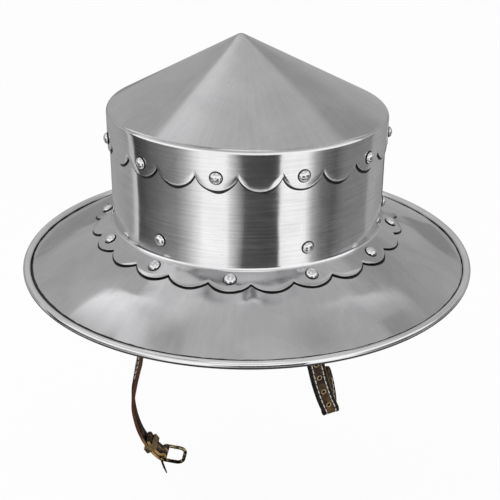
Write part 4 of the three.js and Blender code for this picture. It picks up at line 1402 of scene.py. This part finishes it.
# %% Buckle strap
STRAP_TOP = 0.009
BUCKLE_STRAP_DROP = 0.259
BUCKLE_STRAP_SWAY = 0.0212
BAR_RADIUS = 0.0016
FOLD_RADIUS = BAR_RADIUS + SEAM + STRAP_THICKNESS / 2
FOLD_LENGTH = 0.025
FOLD_SPREAD = 0.003
FOLD_SPREAD_START = 0.7
FOLD_STEPS = 10
BACK_STEPS = 12
BUCKLE_SEWN_FROM = 0.018
BUCKLE_SEWN_TO = 0.19
PRONG_RADIUS = 0.001
BUCKLE_ROUTE_SHARES = [
    (0, 0), (0, 0.09), (0.1, 0.25), (0.28, 0.42), (0.34, 0.53), (0.295, 0.61), (0.165, 0.66),
    (0.04, 0.71), (-0.05, 0.75), (-0.075, 0.8), (-0.015, 0.842), (0.115, 0.887), (0.295, 0.924),
    (0.5, 0.952), (0.75, 0.98), (1, 1),
]
TWISTS = [(0, 0), (0.11, 0), (0.16, 22), (0.195, 15), (0.225, 8), (0.245, 6), (0.258, 0)]

hanging_places = [Vector((0, -STRAP_MIDDLE, LINER_RIVET_HEIGHT + STRAP_TOP))]
hanging_places += [
    Vector((0, inward * BUCKLE_STRAP_SWAY - STRAP_MIDDLE, LINER_RIVET_HEIGHT - down * BUCKLE_STRAP_DROP))
    for inward, down in BUCKLE_ROUTE_SHARES
]
hanging = smooth_route(hanging_places, ROUTE_STEP)
end_heading = (hanging[-1] - hanging[-2]).normalized()
end_lift = SQUARE_ACROSS.cross(end_heading)
bar_place = hanging[-1] + end_lift * FOLD_RADIUS


def beside_strap(back, lift):
    """A place on the hanging strap, measured back from its end and lifted off it, and its two directions."""
    left = back
    for after, before in zip(reversed(hanging), reversed(hanging[:-1])):
        step = (after - before).length
        if left <= step:
            along = (after - before).normalized()
            up = SQUARE_ACROSS.cross(along)
            return after - along * left + up * lift, along, up
        left -= step


def folded_route():
    """The hanging way, then round the bar and back up over the strap, with the loose end lifting off it."""
    turn = [bar_place + end_heading * (FOLD_RADIUS * math.sin(t)) - end_lift * (FOLD_RADIUS * math.cos(t))
            for t in spread(0, math.pi, FOLD_STEPS)[1:]]
    back = []
    for share in spread(0, 1, BACK_STEPS)[1:]:
        spread_share = clamped_share(share, FOLD_SPREAD_START, 1) ** 1.5
        gap = SEAM * max(1 - share * 2, 0) + FOLD_SPREAD * spread_share
        back.append(beside_strap(FOLD_LENGTH * share, STRAP_THICKNESS + SEAM + gap)[0])
    return even_route([*hanging, *turn, *back], ROUTE_STEP)


def between(stops, value, ease=lambda share: share):
    """The level at a value, from a few (value, level) stops. An ease bends the way between two stops."""
    for (start, low), (end, high) in zip(stops, stops[1:]):
        if value <= end:
            return low + (high - low) * ease((value - start) / (end - start))
    return stops[-1][1]


def buckle_across(length):
    """Gives the way across a strap of some length. Below the brim it is twisted outwards by some degrees."""
    def across(share):
        turn = math.radians(between(TWISTS, share * length, lambda way: (1 - math.cos(math.pi * way)) / 2))
        return Vector((math.cos(turn), math.sin(turn), 0))
    return across


buckle_route = folded_route()
buckle_strap_mesh = swept_strap("buckle_strap_sewn", buckle_route, buckle_across(route_length(buckle_route)),
                                [buckle_strap_leather, bare_leather])


def prong_slot():
    """Cuts the slot for the prong, right through both sides of the fold."""
    half = Vector((PRONG_RADIUS + SEAM, FOLD_RADIUS + STRAP_THICKNESS, FOLD_RADIUS + STRAP_THICKNESS))
    points = []
    for along in (-1, 1):
        for side, up in ((-1, -1), (1, -1), (1, 1), (-1, 1)):
            points.append(bar_place + SQUARE_ACROSS * (side * half.x) + end_heading * (along * half.y)
                          + end_lift * (up * half.z))
    return forged_mesh("prong_slot", points, ring_faces(2, 4, False), [bare_leather])


buckle_strap_mesh = cut_away(buckle_strap_mesh, [prong_slot(), rivet_punch()])
place_piece("buckle_strap_sewn", turned(buckle_strap_mesh, -STRAP_TURN), "buckle_strap",
            ["buckle_strap"])
buckle_stitches = strap_stitches(hanging, buckle_across(route_length(hanging)), BUCKLE_SEWN_FROM,
                                 BUCKLE_SEWN_TO)
place_parts("buckle_strap_stitches", buckle_stitches, waxed_thread, "buckle_strap",
            angle=-STRAP_TURN)
print("buckle strap length:", round(route_length(buckle_route), 4), "faces:", len(buckle_strap_mesh.polygons))

# %% [markdown]
# ## The tail strap
# The other half hangs at the wearer's left. It has a row of punched holes for the prong, and its end is
# turned up behind it. The walls of the holes are painted dark, as the shade inside a hole, so the punches
# carry that finish and leave it on the faces they cut, and only the rim of each hole is worn pale.

# %% Tail strap
TAIL_DROP = 0.150
TAIL_LEAN = 0.0286
TURN_RADIUS = 0.004
TURN_UP = 0.033
TURN_SKEW = 0.0034
HOLE_RADIUS = 0.0015
HOLE_SPACING = 0.0138
HOLES = 5
RIM_RING = HOLE_RADIUS * 1.2
RIM_THICKNESS = HOLE_RADIUS * 0.22
RIM_STEPS = 28
RIM_SIDES = 8
LOWEST_HOLE = 0.007
TURN_STEPS = 12
RISE_STEPS = 14
SEWN_MARGIN = 0.008
TAIL_ROUTE_SHARES = [
    (0, 0), (0, 0.1), (0.06, 0.3), (0.22, 0.52), (0.455, 0.68), (0.63, 0.81), (0.84, 0.93), (1, 1),
]


def tail_routes():
    """The way down to the bend, and the whole way round it and up again behind."""
    down = [Vector((lean * TAIL_LEAN, -STRAP_MIDDLE, LINER_RIVET_HEIGHT - drop * TAIL_DROP))
            for lean, drop in TAIL_ROUTE_SHARES]
    bottom = down[-1]
    falling = smooth_route([down[0] + Vector((0, 0, STRAP_TOP)), *down], ROUTE_STEP)
    turn = [bottom + Vector((TURN_SKEW * share, TURN_RADIUS * (1 - math.cos(math.pi * share)),
                             -TURN_RADIUS * math.sin(math.pi * share)))
            for share in spread(0, 1, TURN_STEPS)[1:]]
    rising = [bottom + Vector((TURN_SKEW - TURN_SKEW * share ** 2,
                               2 * TURN_RADIUS + TURN_RADIUS * share / 2, TURN_UP * share))
              for share in spread(0, 1, RISE_STEPS)[1:]]
    return falling, even_route([*falling, *turn, *rising], ROUTE_STEP)


falling_tail, tail_route = tail_routes()
tail_length = route_length(tail_route)
falling_length = route_length(falling_tail)


def tail_across(share):
    """The turned-up end twists, by up to a radian, as in the CAD solid."""
    late = max(share * tail_length - falling_length, 0) / (tail_length - falling_length)
    return Vector((math.cos(late), math.sin(late), 0))


hole_places = [falling_tail[len(falling_tail) - 1 - round((LOWEST_HOLE + i * HOLE_SPACING) / ROUTE_STEP)]
               for i in range(HOLES)]
punches = [punch(place, Vector((0, -1, 0)), HOLE_RADIUS, 2 * TURN_RADIUS, shaded_leather)
           for place in hole_places]
tail_mesh = swept_strap("tail_strap_sewn", tail_route, tail_across, [tail_strap_leather, shaded_leather])
tail_mesh = cut_away(tail_mesh, [rivet_punch(), *punches])
place_piece("tail_strap_sewn", turned(tail_mesh, STRAP_TURN), "tail_strap", ["tail_strap"])
place_parts("tail_strap_stitches",
            strap_stitches(tail_route, tail_across, SEWN_MARGIN, tail_length - SEWN_MARGIN),
            waxed_thread, "tail_strap", angle=STRAP_TURN)


def hole_rims():
    """A low raised ring of bare leather on the outer face, round each punched hole."""
    parts = []
    for place in hole_places:
        ring = [place + Vector((x, -STRAP_THICKNESS / 2, z)) for x, z in circle(RIM_RING, RIM_STEPS)]
        parts.append(tube_parts(ring, lambda share: RIM_THICKNESS, RIM_SIDES, lambda share: Vector((0, 1, 0)),
                                True))
    return parts


place_parts("tail_hole_rims", hole_rims(), bare_leather, "tail_strap", angle=STRAP_TURN)
print("tail length:", round(tail_length, 4), "holes:", HOLES, "faces:", len(tail_mesh.polygons))

# %% [markdown]
# ## The keeper
# A narrow loop of leather slides over both layers of the buckle strap and keeps the folded end down. It is
# softer than the strap, so its corners are round. Its section goes round the strap as a rounded rectangle.

# %% Keeper
KEEPER_WIDTH = 0.006
KEEPER_THICKNESS = 0.0016
KEEPER_CORNER = 0.75 * KEEPER_THICKNESS
KEEPER_BACK = 0.0136
KEEPER_PLAY = 0.0007
KEEPER_CORNER_STEPS = 6
KEEPER_BROWN = (0.07, 0.035, 0.012)
KEEPER_TAN = (0.27, 0.17, 0.06)
KEEPER_SPECK = (0.02, 0.012, 0.008)
FILED = 0.6


def keeper_leather_finish():
    finish, shader = new_finish("keeper_leather")
    place = own_place(shader)
    clouds = noise(place, 160.0, 4.0, 0.65)
    specks = noise(place, 700.0, 3.0, 0.7)
    brown = stained(KEEPER_BROWN, clouds, 0.35, 0.65, KEEPER_TAN)
    dress(shader, stained(brown, specks, 0.58, 0.7, KEEPER_SPECK, 0.7), [(clouds, 0.0003), (specks, 0.0001)])
    return finish


def keeper_loop():
    """Places round the strap and the directions out of the loop there, as (across, up, turn)."""
    wide = STRAP_WIDTH / 2 + KEEPER_PLAY + KEEPER_THICKNESS / 2
    high = STRAP_THICKNESS + SEAM / 2 + KEEPER_PLAY + KEEPER_THICKNESS / 2
    corner = KEEPER_CORNER
    u, v = wide - corner, high - corner
    centres = [(u, v), (-u, v), (-u, -v), (u, -v)]
    places = round_corners(centres, corner, KEEPER_CORNER_STEPS)
    loop = []
    for i, (a, b) in enumerate(places):
        x, y = centres[i // (KEEPER_CORNER_STEPS + 1)]
        loop.append((a, b, math.atan2(b - y, a - x)))
    return loop


def keeper_mesh():
    """A strip with filed corners, swept round the strap. Its two cut edges show bare leather."""
    place, along, up = beside_strap(KEEPER_BACK, STRAP_THICKNESS / 2)
    middle = place + up * (SEAM / 2)
    half = KEEPER_WIDTH / 2
    thin = KEEPER_THICKNESS / 2
    edge = thin * FILED
    strip = [(0, thin), (half - edge, thin), (half, thin - edge), (half, edge - thin), (half - edge, -thin)]
    strip += [(-a, -b) for a, b in strip]
    points = []
    for u, v, turn in keeper_loop():
        outward = SQUARE_ACROSS * math.cos(turn) + up * math.sin(turn)
        centre = middle + SQUARE_ACROSS * u + up * v
        points += [centre + along * a + outward * b for a, b in strip]
    faces = ring_faces(len(points) // len(strip), len(strip), True)
    finish_of = [1 if i % len(strip) in (2, 7) else 0 for i in range(len(faces))]
    return forged_mesh("keeper_loop", points, faces, [keeper_leather_finish(), bare_leather], finish_of)


place_piece("keeper_loop", turned(keeper_mesh(), -STRAP_TURN), "strap_keeper",
            ["strap_keeper"])
print("keeper:", KEEPER_WIDTH)

# %% [markdown]
# ## The buckle
# The buckle is bent from round brass wire into the shape of a letter D, with the strap folded round its
# straight bar. The prong is thinner wire: an eye round the bar and a slightly bowed shank with a tapered
# tip. Both are tubes along their middle lines. Brass darkens with age except where it is rubbed.

# %% Aged brass
def aged_brass_finish(name, tarnished, rubbed):
    """Brass that is dark where it has tarnished and bright where it is rubbed."""
    finish, shader = new_finish(name, Metallic=1.0)
    place = own_place(shader)
    tarnish = noise(place, 210.0, 4.0, 0.65, 0.5)
    dress(shader, stained(tarnished, tarnish, 0.47, 0.58, rubbed),
          [(tarnish, 0.00025), (noise(place, 1400.0, 3.0, 0.6), 0.00004)],
          remap(tarnish, 0.35, 0.65, 0.5, 0.22))
    return finish


aged_brass = aged_brass_finish("aged_brass", (0.022, 0.011, 0.006), (0.80, 0.66, 0.38))
reddened_brass = aged_brass_finish("reddened_brass_wire", (0.20, 0.07, 0.035), (0.60, 0.30, 0.15))
print("brass finishes:", aged_brass.name, reddened_brass.name)

# %% [markdown]
# ## The wires of the buckle
# The outline of the frame is put together from straight runs and arcs in the frame's own plane, which hangs
# from the bar at a slight tilt. The prong turns about the bar until its weight is right below it.

# %% Buckle frame and prong
FRAME_LENGTH = 0.020
FRAME_WIDTH = 0.021
FRAME_CORNER = 0.006
FRAME_TILT = math.radians(8)
PRONG_REACH = 0.003
PRONG_BOW = 0.0008
TAPER_FROM = 0.85
FRAME_SIDES = 16
PRONG_SIDES = 12
EYE_STEPS = 16
SHANK_STEPS = 18
frame_direction = Vector((0, math.cos(FRAME_TILT), -math.sin(FRAME_TILT)))


def frame_outline():
    """The buckle's middle line in its own plane: across, and away from the bar."""
    half = FRAME_WIDTH / 2
    near = BAR_RADIUS
    bow = [(x, 0) for x in spread(near - half, half - near, 10)]
    right = arc(half - near, near, near, -math.pi / 2, 0, 4)[1:]
    rise = [(half, y) for y in spread(near, FRAME_LENGTH - FRAME_CORNER, 6)[1:-1]]
    far_right = arc(half - FRAME_CORNER, FRAME_LENGTH - FRAME_CORNER, FRAME_CORNER, 0, math.pi / 2, 9)
    top = [(x, FRAME_LENGTH) for x in spread(half - FRAME_CORNER, FRAME_CORNER - half, 6)[1:-1]]
    left = [(-x, y) for x, y in reversed(right + rise + far_right)]
    return bow + right + rise + far_right + top + left


frame_path = [bar_place + SQUARE_ACROSS * x + frame_direction * y for x, y in frame_outline()]
frame_tube = tube_parts(frame_path, lambda share: BAR_RADIUS, FRAME_SIDES,
                        lambda share: SQUARE_ACROSS.cross(frame_direction), True)
place_parts("buckle_wire_frame", [frame_tube], aged_brass, "buckle_frame", ["buckle_frame"],
            -STRAP_TURN)


def prong_mesh():
    """The prong hangs from the bar as its weight lets it."""
    loop = BAR_RADIUS + SEAM + PRONG_RADIUS
    length = FRAME_LENGTH + PRONG_REACH
    path = [Vector((0, loop * math.cos(t), loop * math.sin(t)))
            for t in spread(math.pi / 2, -math.pi * 11 / 14, EYE_STEPS)]
    path += [Vector((0, -loop - PRONG_BOW * math.sin(math.pi * s), -length * s))
             for s in spread(0, 1, SHANK_STEPS)]
    weighed = sum(((b + a) / 2 * (b - a).length for a, b in zip(path, path[1:])), Vector())
    points, faces = tube_parts(
        path, lambda share: PRONG_RADIUS * (1 - 3 * max(share - TAPER_FROM, 0)), PRONG_SIDES,
        lambda share: SQUARE_ACROSS,
    )
    mesh = forged_mesh("prong_wire", points, faces, [reddened_brass])
    mesh.transform(Matrix.Translation(bar_place) @ Matrix.Rotation(math.atan(weighed.y / weighed.z), 4, "X"))
    return turned(mesh, -STRAP_TURN)


place_piece("prong_wire", prong_mesh(), "buckle_prong", ["buckle_prong"])
print("bar of the buckle at", [round(v, 4) for v in bar_place])

# %% [markdown]
# ## The studio
# Polished steel shows the room round it, so the room matters as much as the metal. The background is white,
# for the camera and in reflections. Grey cards stand round the hat, and the metal mirrors the cards and the
# white gaps between them as upright stripes. A canopy over the hat gives the cone and the brim their even
# satin grey, with a lighter wedge in the middle. Its front has a wide light panel over the camera, and under
# its front edge a white gap is left, which shows as a fine line along every bend. All cards show only in
# reflections, so the light on the leather stays soft.

# %% World and floor
FLOOR_HEIGHT = -0.45
FLOOR_REACH = 6.0
FLOOR_GREY = 0.9
FLOOR_GLOW = 0.93
PLAIN_LIGHT = 0.8


def cleared_network(owner, output_kind):
    """Empties the network of a world or a finish and gives its new output."""
    owner.use_nodes = True
    owner.node_tree.nodes.clear()
    return owner.node_tree.nodes.new(output_kind)


def reflecting_share(output):
    """One for rays of the camera, of a reflection or through glass, and zero for others."""
    rays = add_node(output, "ShaderNodeLightPath").outputs
    total = rays["Is Camera Ray"]
    for name in ("Is Glossy Ray", "Is Transmission Ray"):
        total = calculate("MAXIMUM", total, rays[name])
    return total


def mix_shaders(output, share, first, second):
    mix = add_node(output, "ShaderNodeMixShader", Fac=share)
    link(first.outputs[0], mix.inputs[1])
    link(second.outputs[0], mix.inputs[2])
    link(mix.outputs[0], output.inputs["Surface"])


def light_world():
    """Plain light for the surfaces, and pure white for whatever sees the world."""
    world = bpy.data.worlds.new("white_studio")
    output = cleared_network(world, "ShaderNodeOutputWorld")
    light, white = [add_node(output, "ShaderNodeBackground", Color=(1, 1, 1), Strength=strength)
                    for strength in (PLAIN_LIGHT, 1.0)]
    mix_shaders(output, reflecting_share(output), light, white)
    bpy.context.scene.world = world


def floor_finish():
    """Matt, with a glow that brings it up to the white of the world."""
    finish = bpy.data.materials.new("pale_floor")
    output = cleared_network(finish, "ShaderNodeOutputMaterial")
    matt = add_node(output, "ShaderNodeBsdfDiffuse", Color=(FLOOR_GREY, FLOOR_GREY, FLOOR_GREY))
    glow = add_node(output, "ShaderNodeEmission")
    mix_shaders(output, calculate("MULTIPLY", reflecting_share(output), FLOOR_GLOW), matt, glow)
    return finish


light_world()
floor_mesh = bpy.data.meshes.new("studio_floor")
corners = [(x * FLOOR_REACH, y * FLOOR_REACH, FLOOR_HEIGHT) for x, y in ((-1, -1), (1, -1), (1, 1), (-1, 1))]
floor_mesh.from_pydata(corners, [], [(0, 1, 2, 3)])
floor_mesh.materials.append(floor_finish())
add_object("studio_floor", floor_mesh)
print("floor at", FLOOR_HEIGHT)

# %% [markdown]
# ## Grey cards
# A card is a sheet with a level of light at each of its corners. The rays of the camera, and those that light
# the surfaces, don't see it. The upright ones stand in a circle round the hat. Their stops say how light they
# are at which angle from the camera.

# %% Upright cards
CARD_DISTANCE = 0.7
CARD_STEPS = 24
CARD_FOOT = FLOOR_HEIGHT + 0.01
CARD_HEAD = -0.04
UPRIGHT_CARDS = {
    "far_left_card": [(-166, 0.28), (-140, 0.36), (-103, 0.33), (-102, 0.60), (-98, 0.55)],
    "left_card": [(-97, 0.50), (-95, 0.04), (-80, 0.10), (-55, 0.24), (-46, 0.42), (-38, 0.80), (-34, 0.98)],
    "front_card": [(-14, 0.8), (-3, 0.08), (24, 0.05)],
    "right_card": [(44, 0.92), (50, 0.40), (58, 0.16), (68, 0.10), (80, 0.20), (108, 0.24), (112, 0.38),
                   (150, 0.30)],
}


def card_finish():
    """A card that glows by the level stored at its corners."""
    finish = bpy.data.materials.new("grey_card")
    output = cleared_network(finish, "ShaderNodeOutputMaterial")
    level = add_node(output, "ShaderNodeAttribute", attribute_name="level").outputs["Fac"]
    link(add_node(output, "ShaderNodeEmission", Strength=level).outputs[0], output.inputs["Surface"])
    return finish


grey_card = card_finish()


def reflected_card(name, rows):
    """A card from rows of (place, level). It is seen only in reflections."""
    width = len(rows[0])
    mesh = bpy.data.meshes.new(name)
    points = [place for row in rows for place, _ in row]
    faces = [(i * width + k, i * width + k + 1, (i + 1) * width + k + 1, (i + 1) * width + k)
             for i in range(len(rows) - 1) for k in range(width - 1)]
    mesh.from_pydata([tuple(p) for p in points], [], faces)
    levels = mesh.attributes.new("level", "FLOAT", "POINT")
    levels.data.foreach_set("value", [level for row in rows for _, level in row])
    mesh.materials.append(grey_card)
    card = add_object(name, mesh)
    for ray in ("camera", "diffuse", "shadow", "transmission", "volume_scatter"):
        setattr(card, f"visible_{ray}", False)


def upright_card(name, stops):
    """A curved upright card. Stops are degrees round from the camera and levels."""
    turns = sorted({*spread(stops[0][0], stops[-1][0], CARD_STEPS), *(turn for turn, _ in stops)})
    reflected_card(name, [[(at_azimuth(CARD_DISTANCE, height, CAMERA_TURN + math.radians(turn)),
                            between(stops, turn)) for turn in turns] for height in (CARD_FOOT, CARD_HEAD)])


for card_name, card_stops in UPRIGHT_CARDS.items():
    upright_card(card_name, card_stops)
print("upright cards:", len(UPRIGHT_CARDS))

# %% [markdown]
# ## The canopy
# Part of a dome hangs over the hat. Its back half gets lighter in one step on its way up, and its front half
# has the light panel. Each half is a net of places, and a function says how light each of them is.

# %% Canopy
CANOPY_DISTANCE = 1.2
CANOPY_ROWS = 49
CANOPY_COLUMNS = 60
LEFT_STOPS = [(-8, 0.45), (20, 0.53), (50.5, 0.54), (52, 0.92), (60, 0.84), (75, 0.68), (90, 0.63)]
RIGHT_STOPS = [(-8, 0.45), (15, 0.50), (28, 0.41), (46.5, 0.42), (48, 0.60), (60, 0.58), (90, 0.63)]
FRONT_STOPS = [(-95, 0.50), (-62, 0.52), (-52, 0.25), (-38, 0.25), (-28, 1.1), (28, 1.1), (38, 0.55),
               (58, 0.47), (95, 0.50)]
FRONT_FOOT = 30
PLAIN_LEVEL = 0.63
PANEL_FADES = [(50, 56), (76, 68)]
LEFT_FADE = (140, 220)
CANOPY_END = 95
CANOPY_FOOT = -20


def behind_level(turn, rise):
    """Right and left stops, which run into one another right behind the hat."""
    left_share = clamped_share(turn, *LEFT_FADE)
    return between(RIGHT_STOPS, rise) * (1 - left_share) + between(LEFT_STOPS, rise) * left_share


def front_level(turn, rise):
    """A light panel fills a band of the front canopy, and the rest of it is plain."""
    panel_share = math.prod(clamped_share(rise, *fade) for fade in PANEL_FADES)
    return between(FRONT_STOPS, turn) * panel_share + PLAIN_LEVEL * (1 - panel_share)


def canopy(name, first, last, lowest, level_at):
    """Part of a dome. Turns are degrees round from the camera, and rises are degrees above level."""
    rows = []
    for rise in spread(lowest, 90, CANOPY_ROWS):
        out = CANOPY_DISTANCE * math.cos(math.radians(rise))
        up = CANOPY_DISTANCE * math.sin(math.radians(rise))
        rows.append([(at_azimuth(out, up, CAMERA_TURN + math.radians(turn)), level_at(turn, rise))
                     for turn in spread(first, last, CANOPY_COLUMNS)])
    reflected_card(name, rows)


canopy("back_canopy", CANOPY_END, 360 - CANOPY_END, CANOPY_FOOT, behind_level)
canopy("front_canopy", -CANOPY_END, CANOPY_END, FRONT_FOOT, front_level)
print("canopy points:", 2 * (CANOPY_ROWS + 1) * (CANOPY_COLUMNS + 1))

# %% [markdown]
# ## Reflectors placed by sighting
# A photographer holds a small reflector where it lights up one zone of the metal. To find its place, the line
# of sight from the camera to a spot on the brim is mirrored by the steel and followed for some distance. Two
# such reflectors give the brim its light zones, brightest at the left, with soft inner ends.

# %% Reflectors for the brim
REFLECTOR_DISTANCE = 0.33
TABLE_STOPS = [(0, 0.05), (0.5, 0.05), (1, 0.10)]
TABLE_REACH = 0.62
TABLE_REACH_BEHIND = 0.63
TABLE_LIFT = 0.005
TABLE_SIDES = 48
LEFT_REFLECTOR = [
    (0.126, [(-31, 0.86), (-27, 0.86), (-22, 0.80), (-15, 0.68)]),
    (0.140, [(-41, 1.16), (-34, 1.14), (-26, 0.92), (-16, 0.68)]),
    (0.156, [(-46, 1.32), (-37, 1.20), (-27, 0.74), (-17, 0.64)]),
    (0.173, [(-50, 1.05), (-40, 0.95), (-29, 0.92), (-22, 0.62)]),
]
RIGHT_REFLECTOR = [
    (0.128, [(18, 0.58), (30, 0.64), (38, 0.66)]),
    (0.140, [(20, 0.62), (32, 0.80), (43, 0.84)]),
    (0.150, [(22, 0.58), (34, 0.70), (46, 0.80)]),
    (0.168, [(24, 0.56), (36, 0.55), (49, 0.56)]),
]


def mirrored_place(spot, upward):
    """Where the line of sight to a spot goes on to, once the steel has mirrored it."""
    sight = (spot - camera.matrix_world.translation).normalized()
    return spot + (sight - upward * (2 * sight.dot(upward))) * REFLECTOR_DISTANCE


def brim_reflector(name, rows):
    """A card that shows at some spots of the brim. Rows are (radius, [(degrees from the camera, level)])."""
    placed = []
    for radius, stops in rows:
        row = []
        for turn, level in stops:
            angle = CAMERA_TURN + math.radians(turn)
            spot = at_azimuth(radius, brim_height(radius, -ROLL_INNER), angle)
            row.append((mirrored_place(spot, at_azimuth(*SQUARE_TO_BRIM, angle)), level))
        placed.append(row)
    reflected_card(name, placed)


def dark_table():
    """A dark card under the hat, which the rolled edge mirrors. It reaches further behind the hat."""
    rows = []
    for share, level in TABLE_STOPS:
        rows.append([])
        for turn in spread(0, 2 * math.pi, TABLE_SIDES):
            reach = TABLE_REACH + TABLE_REACH_BEHIND * max(-math.cos(turn - CAMERA_TURN), 0)
            rows[-1].append((at_azimuth(share * reach, FLOOR_HEIGHT + TABLE_LIFT, turn), level))
    reflected_card("dark_table", rows)


brim_reflector("left_reflector", LEFT_REFLECTOR)
brim_reflector("right_reflector", RIGHT_REFLECTOR)
dark_table()
print("reflector rows:", len(LEFT_REFLECTOR), len(RIGHT_REFLECTOR), "table reaches", TABLE_REACH)

# %% [markdown]
# ## A soft lamp
# One large, weak lamp above the hat, to the left of the camera, gives the leather and the brass a soft
# direction of light. It isn't seen in reflections, so it leaves the steel as it is.

# %% Overhead lamp
LAMP_POWER = 6.0
LAMP_WIDTH = 0.8
LAMP_OUT = 0.7
LAMP_UP = 1.1
LAMP_TURN = math.radians(-35)

soft_box = bpy.data.lights.new("overhead_soft_box", "AREA")
soft_box.energy = LAMP_POWER
soft_box.shape = "DISK"
soft_box.size = LAMP_WIDTH
lamp = add_object("overhead_soft_box", soft_box)
lamp.visible_glossy = False
lamp_place = at_azimuth(LAMP_OUT, LAMP_UP, CAMERA_TURN + LAMP_TURN)
lamp.matrix_world = Matrix.Translation(lamp_place) @ lamp_place.to_track_quat("Z", "Y").to_matrix().to_4x4()
print("lamp at", [round(v, 2) for v in lamp_place])

# %% [markdown]
# ## The end
# The view transform stays plain, so that colours come out as they were written.

# %% Finish
bpy.context.scene.view_settings.view_transform = "Standard"
